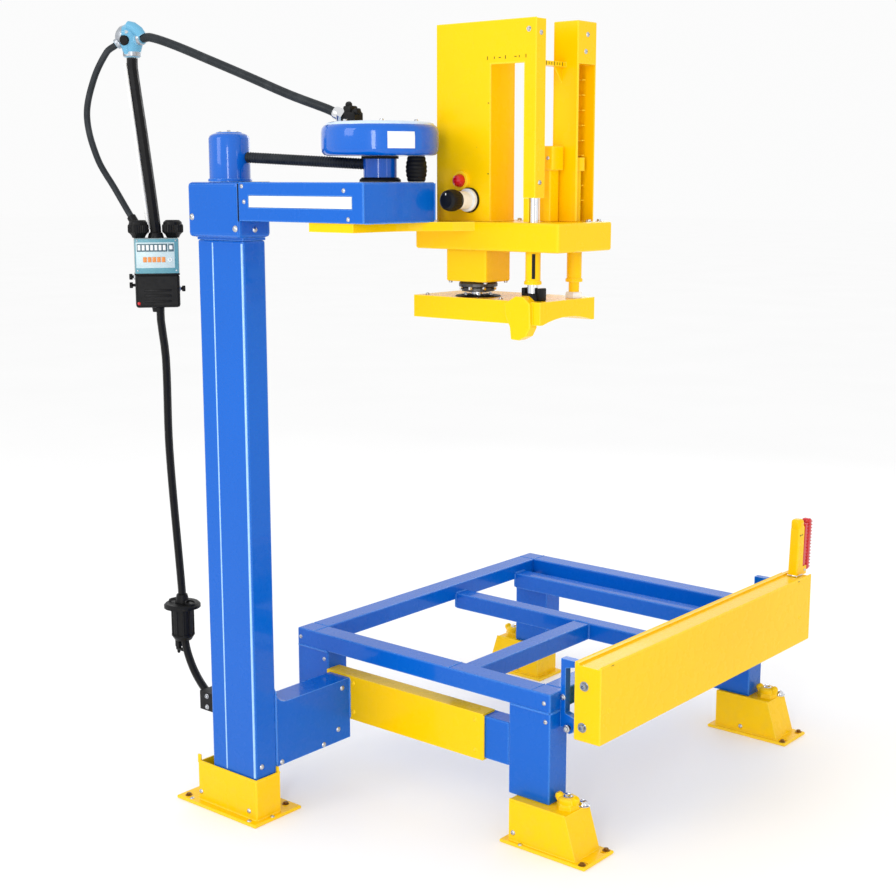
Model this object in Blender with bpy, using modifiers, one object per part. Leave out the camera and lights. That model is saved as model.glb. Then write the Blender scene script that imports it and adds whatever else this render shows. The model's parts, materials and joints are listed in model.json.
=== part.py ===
"""Tyre changer press: a wheel bed with a fold-down side guard, a column that carries
a swinging arm, a hydraulic press head on the arm, and a control pendant on a mast.

Units are metres and +Z is up. Pieces are laid out from the front left corner of the
bed on the floor, with X along the front rail and Y towards the back. The empty
"bed_corner" carries that layout, so the origin lies under the middle of the machine.
"""
import math

import bmesh
import bpy
from mathutils import Matrix, Vector

# ------------------------------------------------------------------ driving dimensions
GAP = 0.0003                    # clearance between pieces that touch
END_GAP = 0.0016                # clearance at the ends of tubes and hoses
CORNER_X, CORNER_Y = -0.42875, -0.4533   # bed corner, measured from the machine's middle

BED_WIDTH = 1.006
BED_LENGTH = 1.256
BED_TOP = 0.463
RAIL_HEIGHT = 0.056
RAIL_WIDTH = 0.070
TUBE_WALL = 0.005
CROSS_DROP = 0.032              # inner members lie this far under the rails' top
CROSS_WIDTH = 0.060
CROSS_CENTRES = (0.750, 1.100)
MIDDLE_RAIL_X = 0.615

LEG_DEPTH = 0.086
LEG_WIDTH = 0.145
SHORT_LEG_WIDTH = 0.135
SHORT_LEG_BOTTOM = 0.156

FOOT_TOP = 0.133
FOOT_FLANGE = 0.010
FOOT_DEPTH = 0.120
FOOT_HEAD = 0.196               # length of the foot's flat top
FOOT_BASE = 0.236               # length where the slanted end meets the flange
FOOT_WALL = 0.007
FOOT_BOLT_R = 0.009

BEAM_LOW, BEAM_HIGH = 0.216, 0.346
BEAM_DEPTH = 0.063
SLEEVE_END = 0.770
SLEEVE_WALL = 0.006

COLUMN_X = (0.045, 0.235)
COLUMN_Y = (-0.411, -0.326)
COLUMN_TOP = 1.7197
COLUMN_WALL = 0.006
COLUMN_FOOT_X = (-0.092, 0.262)
COLUMN_FOOT_Y = (-0.445, -0.252)
COLUMN_ANCHORS = ((-0.062, -0.276), (-0.062, -0.421), (0.216, -0.276))
SOCKET_LEFT = -0.018            # the column foot's socket walls start here
TIE_X = (0.150, 0.235)
TIE_Z = (0.150, 0.346)
TIE_FILLET = 0.045

AXIS_X, AXIS_Y = 0.142, -0.3685  # the arm's swing axis
SHAFT_R = 0.028
HEAD_X = (0.034, 0.246)
HEAD_Y = (-0.436, -0.312)
HEAD_Z = (1.7283, 1.881)
SPINDLE_R = 0.0575
SPINDLE_TOP = 2.015

ARM_Z = (1.776, 1.881)
ARM_END = 0.715
ARM_BACK = -0.154
ARM_NARROW = 0.500              # the arm starts to widen here
ARM_WALL = 0.006

BASE_X = (0.578, 1.068)
BASE_Y = (-0.077, 0.172)
BASE_Z = (1.699, 1.776)

RAM_X, RAM_Y = 0.742, 0.0
RAM_ROD_R = 0.0225
CYLINDER_R = 0.042
CYLINDER_WALL = 0.008
RAM_HOUSING_LOW = 1.611
PISTON_TOP = 2.215
PLATEN_X = (0.572, 1.012)
PLATEN_Y = (-0.077, 0.176)
PLATEN_Z = (1.508, 1.569)
PLATEN_FOOT = 0.012             # flat strips either side of the platen's arched underside
PLATEN_RISE = 0.016
FRONT_ROD = (0.957, -0.036)
REAR_ROD = (0.978, 0.125)
ROD_R = 0.0145
ROD_SLEEVE_R = 0.0205
ROD_SLEEVE_LOW = 1.612
FRONT_ROD_TOP = 2.000
REAR_ROD_TOP = 1.946
STOP_LIFT = 0.136               # the rear rod's collar stands this far over the base plate
STOP_R = 0.024
GUIDE_POST_X = (0.927, 0.962)
GUIDE_POST_Y = (0.030, 0.070)
GUIDE_POST_TOP = 1.976

TOWER_TOP = 2.300
TOWER_X = (0.639, 0.976)
TOWER_Y = -0.057
SHEET = 0.004
WINDOW_X = (0.825, 0.938)
WINDOW_TOP = 2.190
POST_BOTTOM = 1.840
POST_DEPTH = 0.042
HOUSING_BACK = 0.053
REAR_POST_X = (0.930, 1.010)
REAR_POST_Y = (0.082, 0.168)
VALVE_X, VALVE_Z = 0.757, 1.833
BUTTON_X, BUTTON_Z = 0.729, 1.885
BUTTON_TRAVEL = 0.005
BUTTON_R = 0.018
STEM_R = 0.008

NECK = (0.600, -0.245)
NECK_R = 0.045
DISC_R = 0.157
DISC_Z = (1.950, 2.026)
BELLOWS = (0.685, -0.195)
BELLOWS_R = (0.022, 0.028)
BELLOWS_RIBS = 5
CONDUIT_R = 0.015
CONDUIT_Z = (1.952, 1.926)
FITTING = (0.505, -0.262, 2.0385)
FITTING_MOUTH = Vector((0.462, -0.272, 2.066))
FITTING_OUT = Vector((-0.925, -0.13, 0.36)).normalized()

GUARD_X = (1.061, 1.151)
GUARD_Y = (0.036, 1.313)
GUARD_Z = (0.336, 0.564)
HINGE_X, HINGE_Z = 1.035, 0.360
HINGE_R = 0.008
LUG_R = 0.018
LUG_WIDTH = 0.024
BRACKET_Y = (0.050, 1.180)      # front faces of the two hinge brackets

GRIP_X = (1.088, 1.122)
GRIP_Y = 1.312                  # between the grip post and the squeeze lever
GRIP_TOP = 0.735
LEVER_PIN = (1.320, 0.574)       # Y and Z of the lever's pin
PIN_R = 0.004
FORK_WALL = 0.005

MAST_X, MAST_Y = -0.125, -0.370
MAST_R = 0.012
POLE_R = 0.016
PENDANT_X, PENDANT_Y = -0.190, -0.370
PENDANT_TURN = math.radians(52)
PENDANT_WIDTH, PENDANT_DEPTH = 0.130, 0.072
PENDANT_Z = (1.512, 1.612, 1.717)
SOCKET_TOP = 0.606
KNOB_OFFSET = 0.050             # gland and knob, either side of the pole
KNOB_PROFILE = [(0, 0.052), (0.020, 0.052), (0.027, 0.046), (0.029, 0.036), (0.029, 0.016),
                (0.022, 0.008), (0.018, 0), (0, 0)]
MAST_HEAD = Vector((-0.262, -0.376, 2.292))
MAST_HEAD_HALF = 0.052

FEED_R = 0.0125
LOOP_R = 0.0095
FEED_MOUTH = Vector((-0.213, -0.374, 2.292))
FEED_OUT = Vector((1.0, 0.10, 0.04)).normalized()
LOOP_MOUTH = Vector((-0.297, -0.405, 2.276))
LOOP_OUT = Vector((-0.62, -0.52, -0.59)).normalized()
GLAND_MOUTH = Vector((-0.2480, -0.4121, 1.7782))
GLAND_OUT = Vector((-0.62, -0.06, 0.78)).normalized()

FINISHES = {
    "blue_paint": ((0.006, 0.110, 0.640), 0.30, 0.0),
    "yellow_paint": ((0.900, 0.560, 0.012), 0.32, 0.0),
    "black_plastic": ((0.012, 0.012, 0.013), 0.45, 0.0),
    "white_plastic": ((0.780, 0.780, 0.760), 0.35, 0.0),
    "red_plastic": ((0.620, 0.012, 0.016), 0.30, 0.0),
    "pale_blue_metal": ((0.170, 0.420, 0.620), 0.25, 0.6),
    "grey_plastic": ((0.300, 0.370, 0.390), 0.40, 0.0),
    "rubber_hose": ((0.020, 0.024, 0.028), 0.55, 0.0),
    "chrome": ((0.780, 0.790, 0.800), 0.12, 1.0),
    "dark_steel": ((0.090, 0.085, 0.080), 0.35, 0.9),
}


# ------------------------------------------------------------------ scene and finishes
def clear_scene():
    """Remove whatever the file opened with."""
    for old in list(bpy.data.objects):
        bpy.data.objects.remove(old, do_unlink=True)


def new_collection(name):
    """A collection linked to the scene."""
    collection = bpy.data.collections.new(name)
    bpy.context.scene.collection.children.link(collection)
    return collection


def finish(name):
    """The material of that finish, made once."""
    existing = bpy.data.materials.get(name)
    if existing:
        return existing
    colour, roughness, metallic = FINISHES[name]
    made = bpy.data.materials.new(name)
    made.use_nodes = True
    shader = made.node_tree.nodes["Principled BSDF"]
    shader.inputs["Base Color"].default_value = (*colour, 1.0)
    shader.inputs["Roughness"].default_value = roughness
    shader.inputs["Metallic"].default_value = metallic
    made.diffuse_color = (*colour, 1.0)
    return made


clear_scene()
PARTS = new_collection("tire_changer")
CUTTERS = new_collection("cutters")


# ------------------------------------------------------------------ rig of empties
def attach(piece, carrier):
    """Parent a piece, laid out in the bed's coordinates, to an empty."""
    piece.parent = carrier
    if carrier.parent:
        piece.matrix_parent_inverse = Matrix.Translation(carrier.location).inverted()


def add_empty(name, location, carrier=None):
    """An empty at a place in the bed's layout."""
    empty = bpy.data.objects.new(name, None)
    empty.empty_display_size = 0.05
    empty.location = location
    PARTS.objects.link(empty)
    if carrier:
        attach(empty, carrier)
    return empty


CORNER = add_empty("bed_corner", (CORNER_X, CORNER_Y, 0.0))


# ------------------------------------------------------------------ shapes
def as_object(name, data, finish_name, location=(0, 0, 0)):
    """Link mesh or curve data as a named part, or as a cutter without a finish."""
    made = bpy.data.objects.new(name, data)
    made.location = location
    if finish_name:
        data.materials.append(finish(finish_name))
        PARTS.objects.link(made)
    else:
        made.hide_render = True
        made.display_type = "WIRE"
        CUTTERS.objects.link(made)
    return made


def box(name, low, high, finish_name=None, bevel=0.0, segments=2):
    """A block between two corners, with its edges rounded by bevel."""
    size = [b - a for a, b in zip(low, high)]
    centre = [(a + b) / 2 for a, b in zip(low, high)]
    mesh = bpy.data.meshes.new(name)
    work = bmesh.new()
    bmesh.ops.create_cube(work, size=1.0, matrix=Matrix.Diagonal((*size, 1.0)))
    work.to_mesh(mesh)
    work.free()
    made = as_object(name, mesh, finish_name, centre)
    if bevel:
        add_bevel(made, bevel, segments)
    return made


def add_bevel(piece, width, segments=2):
    """Round a piece's sharp edges."""
    bevel = piece.modifiers.new("edges", "BEVEL")
    bevel.width = width
    bevel.segments = segments
    bevel.limit_method = "ANGLE"
    bevel.angle_limit = math.radians(40)


def rod(name, start, end, radius, finish_name=None, sides=32):
    """A cylinder between two points."""
    start, end = Vector(start), Vector(end)
    mesh = bpy.data.meshes.new(name)
    work = bmesh.new()
    bmesh.ops.create_cone(work, cap_ends=True, segments=sides, radius1=radius,
                          radius2=radius, depth=(end - start).length)
    work.to_mesh(mesh)
    work.free()
    mesh.shade_smooth()
    mesh.set_sharp_from_angle(angle=math.radians(40))
    made = as_object(name, mesh, finish_name, (start + end) / 2)
    made.rotation_euler = (end - start).to_track_quat("Z", "Y").to_euler()
    return made


def turned(name, base, profile, finish_name, steps=32, direction=(0, 0, 1), closed=False):
    """A turned shape: (radius, height) points run down the outer side and turn about
    the line through base along direction. A ring's profile is closed."""
    mesh = bpy.data.meshes.new(name)
    work = bmesh.new()
    points = [work.verts.new((radius, 0.0, height)) for radius, height in profile]
    edges = [work.edges.new(pair) for pair in zip(points, points[1:])]
    if closed:
        edges.append(work.edges.new((points[-1], points[0])))
    bmesh.ops.spin(work, geom=points + edges, cent=(0, 0, 0), axis=(0, 0, 1),
                   angle=2 * math.pi, steps=steps, use_merge=True)
    bmesh.ops.remove_doubles(work, verts=work.verts, dist=0.00005)
    bmesh.ops.recalc_face_normals(work, faces=work.faces)
    work.to_mesh(mesh)
    work.free()
    mesh.shade_smooth()
    mesh.set_sharp_from_angle(angle=math.radians(40))
    made = as_object(name, mesh, finish_name, base)
    made.rotation_euler = Vector(direction).to_track_quat("Z", "Y").to_euler()
    return made


def slab(name, outline, start, end, finish_name=None, plane="XY"):
    """A flat outline of (u, v) points made into a plate from start to end along the
    third axis. Plane XY stands on Z, XZ runs along Y, YZ runs along X."""
    curve = bpy.data.curves.new(name, "CURVE")
    curve.dimensions = "2D"
    curve.fill_mode = "BOTH"
    curve.extrude = abs(end - start) / 2
    spline = curve.splines.new("POLY")
    spline.points.add(len(outline) - 1)
    for point, (u, v) in zip(spline.points, outline):
        point.co = (u, v, 0.0, 1.0)
    spline.use_cyclic_u = True
    flat = bpy.data.objects.new(name + "_outline", curve)
    middle = (start + end) / 2
    if plane == "XY":
        flat.location = (0.0, 0.0, middle)
    elif plane == "XZ":
        flat.rotation_euler = (math.radians(90), 0.0, 0.0)
        flat.location = (0.0, middle, 0.0)
    else:
        flat.rotation_euler = (math.radians(90), 0.0, math.radians(90))
        flat.location = (middle, 0.0, 0.0)
    return mesh_from_curve(name, flat, finish_name)


def mesh_from_curve(name, flat, finish_name):
    """Turn a curve object into a closed mesh part and remove the curve."""
    bpy.context.scene.collection.objects.link(flat)
    bpy.context.view_layer.update()
    evaluated = flat.evaluated_get(bpy.context.evaluated_depsgraph_get())
    mesh = bpy.data.meshes.new_from_object(evaluated)
    mesh.materials.clear()
    work = bmesh.new()
    work.from_mesh(mesh)
    bmesh.ops.remove_doubles(work, verts=work.verts, dist=0.00005)
    bmesh.ops.recalc_face_normals(work, faces=work.faces)
    work.to_mesh(mesh)
    work.free()
    place = flat.matrix_world.copy()
    bpy.data.objects.remove(flat, do_unlink=True)
    made = as_object(name, mesh, finish_name)
    made.matrix_world = place
    return made


def smooth_route(points, samples):
    """Points along a smooth curve through a route's points, shared out by length."""
    last = len(points) - 1
    headings = [(points[min(i + 1, last)] - points[max(i - 1, 0)]).normalized()
                for i in range(last + 1)]
    total = sum((b - a).length for a, b in zip(points, points[1:]))
    route = [points[0]]
    for index in range(last):
        start, end = points[index:index + 2]
        reach = (end - start).length
        steps = max(2, round(samples * reach / total))
        for step in range(1, steps + 1):
            t = step / steps
            route.append(start * (2 * t ** 3 - 3 * t ** 2 + 1) + end * (3 * t ** 2 - 2 * t ** 3)
                         + headings[index] * reach * (t ** 3 - 2 * t ** 2 + t)
                         + headings[index + 1] * reach * (t ** 3 - t ** 2))
    return route


def route_curve(name, points, radius, samples, rounding=2):
    """Curve data for a round tube along a smooth curve through the given points."""
    curve = bpy.data.curves.new(name, "CURVE")
    curve.dimensions = "3D"
    curve.bevel_depth = radius
    curve.bevel_resolution = rounding
    curve.use_fill_caps = True
    route = smooth_route([Vector(point) for point in points], samples)
    spline = curve.splines.new("POLY")
    spline.points.add(len(route) - 1)
    for place, point in zip(spline.points, route):
        place.co = (*point, 1.0)
    return curve


def tube(name, points, radius, finish_name, samples, rounding=2):
    """A round tube part that follows a smooth route."""
    return as_object(name, route_curve(name, points, radius, samples, rounding), finish_name)


def arc(centre_u, centre_v, radius, start, end, count=6):
    """Points of an arc in the outline's plane, with its angles in degrees."""
    angles = [math.radians(start + (end - start) * i / (count - 1)) for i in range(count)]
    return [(centre_u + radius * math.cos(a), centre_v + radius * math.sin(a)) for a in angles]


def combine(target, tool, operation):
    """Cut a tool from a target, or join it on."""
    change = target.modifiers.new(operation.lower(), "BOOLEAN")
    change.operation = operation
    change.solver = "EXACT"
    change.object = tool
    return target


def cut(target, *tools):
    """Cut each tool from the target."""
    for tool in tools:
        combine(target, tool, "DIFFERENCE")
    return target


def join(target, *tools):
    """Join each tool to the target."""
    for tool in tools:
        combine(target, tool, "UNION")
    return target


def inset(low, high, wall, through=None):
    """A cutter inside a box, which passes out through both ends along one axis."""
    low = [value + wall for value in low]
    high = [value - wall for value in high]
    if through is not None:
        low[through] -= 2 * wall
        high[through] += 2 * wall
    return box("inside", low, high)


def tube_bar(name, low, high, finish_name, through=None, wall=TUBE_WALL, bevel=0.004):
    """A rectangular tube. With no open ends it gets a drain hole in its underside."""
    made = box(name, low, high, finish_name, bevel)
    cut(made, inset(low, high, wall, through))
    if through is None:
        x, y = (low[0] + high[0]) / 2, (low[1] + high[1]) / 2
        cut(made, rod("drain", (x, y, low[2] - wall), (x, y, low[2] + 2 * wall), 0.006, sides=12))
    return made


# ------------------------------------------------------------------ bed
def build_rails():
    """The bed's welded rim and its inner members."""
    low, high = BED_TOP - RAIL_HEIGHT, BED_TOP
    inner_low, inner_high = RAIL_WIDTH + GAP, BED_LENGTH - RAIL_WIDTH - GAP
    inside_x = (RAIL_WIDTH + GAP, BED_WIDTH - RAIL_WIDTH - GAP)
    rails = [
        tube_bar("bed_front_rail", (0, 0, low), (BED_WIDTH, RAIL_WIDTH, high), "blue_paint"),
        tube_bar("bed_rear_rail", (0, BED_LENGTH - RAIL_WIDTH, low),
                 (BED_WIDTH, BED_LENGTH, high), "blue_paint"),
        tube_bar("bed_left_rail", (0, inner_low, low),
                 (RAIL_WIDTH, inner_high, high), "blue_paint", through=1),
        tube_bar("bed_right_rail", (BED_WIDTH - RAIL_WIDTH, inner_low, low),
                 (BED_WIDTH, inner_high, high), "blue_paint", through=1),
    ]
    cross_low, cross_high = low - CROSS_DROP, high - CROSS_DROP
    for place, middle in zip(("front", "rear"), CROSS_CENTRES):
        rails.append(tube_bar("cross_member_" + place,
                              (inside_x[0], middle - CROSS_WIDTH / 2, cross_low),
                              (inside_x[1], middle + CROSS_WIDTH / 2, cross_high),
                              "blue_paint", through=0))
    rails.append(tube_bar("bed_middle_rail",
                          (MIDDLE_RAIL_X - CROSS_WIDTH / 2, inner_low, cross_low),
                          (MIDDLE_RAIL_X + CROSS_WIDTH / 2,
                           CROSS_CENTRES[0] - CROSS_WIDTH / 2 - GAP, cross_high),
                          "blue_paint", through=1))
    return rails


def build_legs():
    """Four square legs. The short front left one is carried by the tie beam."""
    top = BED_TOP - RAIL_HEIGHT - GAP
    right = (BED_WIDTH - LEG_WIDTH, BED_WIDTH)
    front, rear = (0, LEG_DEPTH), (BED_LENGTH - LEG_DEPTH, BED_LENGTH)
    places = {
        "leg_front_left": ((0, SHORT_LEG_WIDTH), front, SHORT_LEG_BOTTOM),
        "leg_front_right": (right, front, FOOT_TOP + GAP),
        "leg_rear_left": ((0, LEG_WIDTH), rear, FOOT_TOP + GAP),
        "leg_rear_right": (right, rear, FOOT_TOP + GAP),
    }
    return [tube_bar(name, (x[0], y[0], bottom), (x[1], y[1], top), "blue_paint", through=2)
            for name, (x, y, bottom) in places.items()]


def build_lower_beam():
    """The front beam between the legs and the folded sleeve that ties it to the column."""
    beam = tube_bar("lower_front_beam", (SHORT_LEG_WIDTH + GAP, 0, BEAM_LOW),
                    (BED_WIDTH - LEG_WIDTH - GAP, BEAM_DEPTH, BEAM_HIGH),
                    "blue_paint", through=0)
    front = -GAP - SLEEVE_WALL
    top, bottom = BEAM_HIGH + GAP, BEAM_LOW - GAP
    lip = BEAM_DEPTH * 0.8
    outline = [(front, bottom - SLEEVE_WALL), (lip, bottom - SLEEVE_WALL), (lip, bottom),
               (-GAP, bottom), (-GAP, top), (lip, top), (lip, top + SLEEVE_WALL),
               (front, top + SLEEVE_WALL)]
    sleeve = slab("beam_sleeve", outline, SHORT_LEG_WIDTH + 2 * GAP, SLEEVE_END,
                  "yellow_paint", plane="YZ")
    return [beam, sleeve]


def build_foot(name, start, front, direction):
    """A folded foot: a flange bolted to the floor and a box with one slanted end.
    start is the box's square end and direction says which way the slant points."""
    def along(distance):
        return start + direction * distance

    def span(first, last):
        return sorted((along(first), along(last)))

    flange_x = span(-0.024, FOOT_BASE + 0.039)
    flange = box(name, (flange_x[0], front - 0.015, 0),
                 (flange_x[1], front + FOOT_DEPTH + 0.015, FOOT_FLANGE), "yellow_paint", 0.003, 1)
    outline = [(along(0), FOOT_FLANGE / 2), (along(FOOT_BASE), FOOT_FLANGE / 2),
               (along(FOOT_HEAD), FOOT_TOP), (along(0), FOOT_TOP)]
    body = slab(name + "_body", outline, front, front + FOOT_DEPTH, plane="XZ")
    hollow = [(along(FOOT_WALL), FOOT_FLANGE + 0.001),
              (along(FOOT_BASE - 2 * FOOT_WALL), FOOT_FLANGE + 0.001),
              (along(FOOT_HEAD - FOOT_WALL), FOOT_TOP - FOOT_WALL),
              (along(FOOT_WALL), FOOT_TOP - FOOT_WALL)]
    pocket = slab(name + "_pocket", hollow, front + FOOT_WALL, front + FOOT_DEPTH + 0.01, plane="XZ")
    screw_x, screw_y = along(FOOT_HEAD - 0.035), front + 0.065
    screw = rod(name + "_screw", (screw_x, screw_y, FOOT_TOP - 0.002),
                (screw_x, screw_y, FOOT_TOP + 0.030), 0.026, sides=24)
    holes = [rod(name + "_hole", (along(FOOT_BASE + 0.021), y, -0.01),
                 (along(FOOT_BASE + 0.021), y, 0.02), FOOT_BOLT_R, sides=16)
             for y in (front + 0.015, front + FOOT_DEPTH - 0.015)]
    join(flange, body)
    cut(flange, pocket, *holes)
    join(flange, screw)
    return flange


def build_feet():
    """The three feet under the bed's long legs."""
    rear = BED_LENGTH - 0.101
    return [build_foot("foot_front_right", 0.890, -0.035, 1),
            build_foot("foot_rear_right", 0.890, rear, 1),
            build_foot("foot_rear_left", 0.116, rear, -1)]


# ------------------------------------------------------------------ column
def build_column():
    """The column tube, its socket foot, the tie beam to the bed and the pivot shaft."""
    column = tube_bar("column", (COLUMN_X[0], COLUMN_Y[0], FOOT_FLANGE + GAP),
                      (COLUMN_X[1], COLUMN_Y[1], COLUMN_TOP), "blue_paint",
                      through=2, wall=COLUMN_WALL, bevel=0.006)
    foot = box("column_foot", (COLUMN_FOOT_X[0], COLUMN_FOOT_Y[0], 0),
               (COLUMN_FOOT_X[1], COLUMN_FOOT_Y[1], FOOT_FLANGE), "yellow_paint", 0.003, 1)
    wall_low = (SOCKET_LEFT, COLUMN_Y[0] - GAP - FOOT_WALL, FOOT_FLANGE / 2)
    wall_high = (COLUMN_X[1] + GAP + FOOT_WALL, COLUMN_Y[1] + GAP + FOOT_WALL, FOOT_TOP)
    walls = box("socket_walls", wall_low, wall_high, bevel=0.003, segments=1)
    well = box("socket_well", (wall_low[0] + FOOT_WALL, COLUMN_Y[0] - GAP, FOOT_FLANGE),
               (COLUMN_X[1] + GAP, COLUMN_Y[1] + GAP, FOOT_TOP + 0.01))
    join(foot, walls)
    cut(foot, well)
    for x, y in COLUMN_ANCHORS:
        cut(foot, rod("anchor_hole", (x, y, -0.01), (x, y, 0.02), FOOT_BOLT_R, sides=16))

    start, end = COLUMN_Y[1] + GAP, -2 * GAP - SLEEVE_WALL
    outline = [(start, TIE_Z[0]), (end, TIE_Z[0]), (end, TIE_Z[1])]
    outline += arc(start + TIE_FILLET, TIE_Z[1] + TIE_FILLET, TIE_FILLET, 270, 180)
    tie = slab("tie_beam", outline, TIE_X[0], TIE_X[1], "blue_paint", plane="YZ")

    plate = box("pivot_shaft", (COLUMN_X[0], COLUMN_Y[0], COLUMN_TOP + GAP),
                (COLUMN_X[1], COLUMN_Y[1], HEAD_Z[0] - GAP), "blue_paint")
    shaft = rod("shaft", (AXIS_X, AXIS_Y, COLUMN_TOP + 0.004),
                (AXIS_X, AXIS_Y, SPINDLE_TOP - 0.035), SHAFT_R)
    join(plate, shaft)
    return [column, foot, tie, plate]


# ------------------------------------------------------------------ swinging arm
def build_head():
    """The swing head on the pivot shaft and the round spindle housing above it."""
    head = box("swing_head", (HEAD_X[0], HEAD_Y[0], HEAD_Z[0]),
               (HEAD_X[1], HEAD_Y[1], HEAD_Z[1]), "blue_paint", 0.012, 3)
    cut(head, rod("bore", (AXIS_X, AXIS_Y, HEAD_Z[0] - 0.01),
                  (AXIS_X, AXIS_Y, HEAD_Z[1] + 0.01), SHAFT_R + GAP))
    low, inner = HEAD_Z[1] + GAP, SPINDLE_R - 0.008
    profile = [(0, SPINDLE_TOP), (SPINDLE_R * 0.70, SPINDLE_TOP - 0.002),
               (SPINDLE_R, SPINDLE_TOP - 0.012), (SPINDLE_R, low), (inner, low),
               (inner, SPINDLE_TOP - 0.022), (0, SPINDLE_TOP - 0.022)]
    spindle = turned("spindle_cap", (AXIS_X, AXIS_Y, 0), profile, "blue_paint")
    return [head, spindle]


def arm_outline(margin, start):
    """The arm seen from above: a narrow beam that widens to the head box."""
    front, back = HEAD_Y[0] + margin, ARM_BACK - margin
    narrow_back = HEAD_Y[1] - margin
    return [(start, front), (ARM_END - margin, front), (ARM_END - margin, back),
            (ARM_NARROW + 0.060 + margin, back), (ARM_NARROW + margin / 2, narrow_back),
            (start, narrow_back)]


def build_arm():
    """The box arm and the yellow carrier plate under its wide end."""
    start = HEAD_X[1] + GAP
    arm = slab("arm_beam", arm_outline(0, start), *ARM_Z, "blue_paint")
    add_bevel(arm, 0.004)
    hollow = slab("arm_hollow", arm_outline(ARM_WALL, start - 0.01),
                  ARM_Z[0] + ARM_WALL, ARM_Z[1] - ARM_WALL)
    groove = box("scale_groove", (0.287, HEAD_Y[0] - 0.01, 1.812),
                 (0.676, HEAD_Y[0] + 0.003, 1.846))
    cut(arm, hollow, groove)
    top, bottom = ARM_Z[0] - GAP, ARM_Z[0] - 0.024
    butt = BASE_Y[0] - GAP
    outline = [(0.513, -0.430), (0.673, -0.430), (0.673, -0.330)]
    outline += arc(0.893, -0.330 + 0.020, 0.220, 180, 127)
    outline += [(0.790, butt), (BASE_X[0] + 0.010, butt), (0.530, -0.260)]
    carrier = slab("carriage_plate", outline, bottom, top, "yellow_paint")
    return [arm, carrier]


def build_base_plate():
    """The press base: a tray open underneath, bored for the ram and the guide rods."""
    base = box("base_plate", (BASE_X[0], BASE_Y[0], BASE_Z[0]),
               (BASE_X[1], BASE_Y[1], BASE_Z[1]), "yellow_paint", 0.006)
    wall = 0.009
    tray = box("tray", (BASE_X[0] + wall, BASE_Y[0] + wall, BASE_Z[0] - 0.01),
               (BASE_X[1] - wall, BASE_Y[1] - wall, BASE_Z[1] - wall))
    ram_bore = rod("ram_bore", (RAM_X, RAM_Y, BASE_Z[0]), (RAM_X, RAM_Y, BASE_Z[1] + 0.01),
                   CYLINDER_R + GAP)
    cut(base, tray, ram_bore)
    for x, y in (FRONT_ROD, REAR_ROD):
        sleeve = rod("rod_sleeve", (x, y, ROD_SLEEVE_LOW), (x, y, BASE_Z[1] - wall / 2),
                     ROD_SLEEVE_R, sides=24)
        bore = rod("rod_bore", (x, y, ROD_SLEEVE_LOW - 0.01), (x, y, BASE_Z[1] + 0.01),
                   ROD_R + GAP, sides=24)
        join(base, sleeve)
        cut(base, bore)
    return base


def build_tower():
    """The press tower: a folded front plate, the cylinder's box and the rear post."""
    low, front = BASE_Z[1] + GAP, TOWER_Y
    back = front + SHEET
    plate = box("tower_front", (TOWER_X[0], front, low), (TOWER_X[1], back, TOWER_TOP),
                "yellow_paint", 0.0015, 1)
    post = box("post", (WINDOW_X[1], front + SHEET / 2, POST_BOTTOM),
               (TOWER_X[1], front + POST_DEPTH, TOWER_TOP - SHEET / 2))
    window = box("window", (WINDOW_X[0], front - 0.01, low - 0.01),
                 (WINDOW_X[1], back + 0.01, WINDOW_TOP))
    foot_gap = box("foot_gap", (WINDOW_X[1] - 0.01, front - 0.01, low - 0.01),
                   (TOWER_X[1] + 0.01, back + 0.01, POST_BOTTOM))
    inner = box("post_inside", (WINDOW_X[1] + SHEET, front + SHEET, POST_BOTTOM - 0.01),
                (TOWER_X[1] - SHEET, front + POST_DEPTH - SHEET, TOWER_TOP - SHEET))
    bezel = rod("bezel", (BUTTON_X, front - 0.009, BUTTON_Z), (BUTTON_X, back - SHEET / 2, BUTTON_Z),
                BUTTON_R + 0.005)
    button_well = rod("button_well", (BUTTON_X, front - 0.02, BUTTON_Z),
                      (BUTTON_X, front, BUTTON_Z), BUTTON_R + GAP)
    stem_hole = rod("stem_hole", (BUTTON_X, front - 0.01, BUTTON_Z),
                    (BUTTON_X, back + 0.01, BUTTON_Z), STEM_R + GAP, sides=20)
    join(plate, post, bezel)
    cut(plate, window, foot_gap, inner, button_well, stem_hole)

    housing = box("cylinder_housing", (TOWER_X[0], back + GAP, low),
                  (WINDOW_X[0], HOUSING_BACK, TOWER_TOP), "yellow_paint", 0.0015, 1)
    cut(housing, box("housing_inside", (TOWER_X[0] + SHEET, front, low - 0.01),
                     (WINDOW_X[0] - SHEET, HOUSING_BACK - SHEET, TOWER_TOP - SHEET)))

    x0, x1 = REAR_POST_X
    y0, y1 = REAR_POST_Y
    rear = box("rear_post", (x0, y0, low), (x1, y1, TOWER_TOP), "yellow_paint", 0.002, 1)
    wall = 0.006
    cut(rear, box("channel", (x0 + wall, y0 + wall, low - 0.01),
                  (x1 + 0.01, y1 - wall, WINDOW_TOP)))
    strap = box("tie_strap", (WINDOW_X[1] + 0.006, front + POST_DEPTH + GAP, WINDOW_TOP - 0.008),
                (TOWER_X[1] - 0.004, y0 + 0.002, WINDOW_TOP + 0.004))
    join(rear, strap)
    return [plate, housing, rear]


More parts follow.
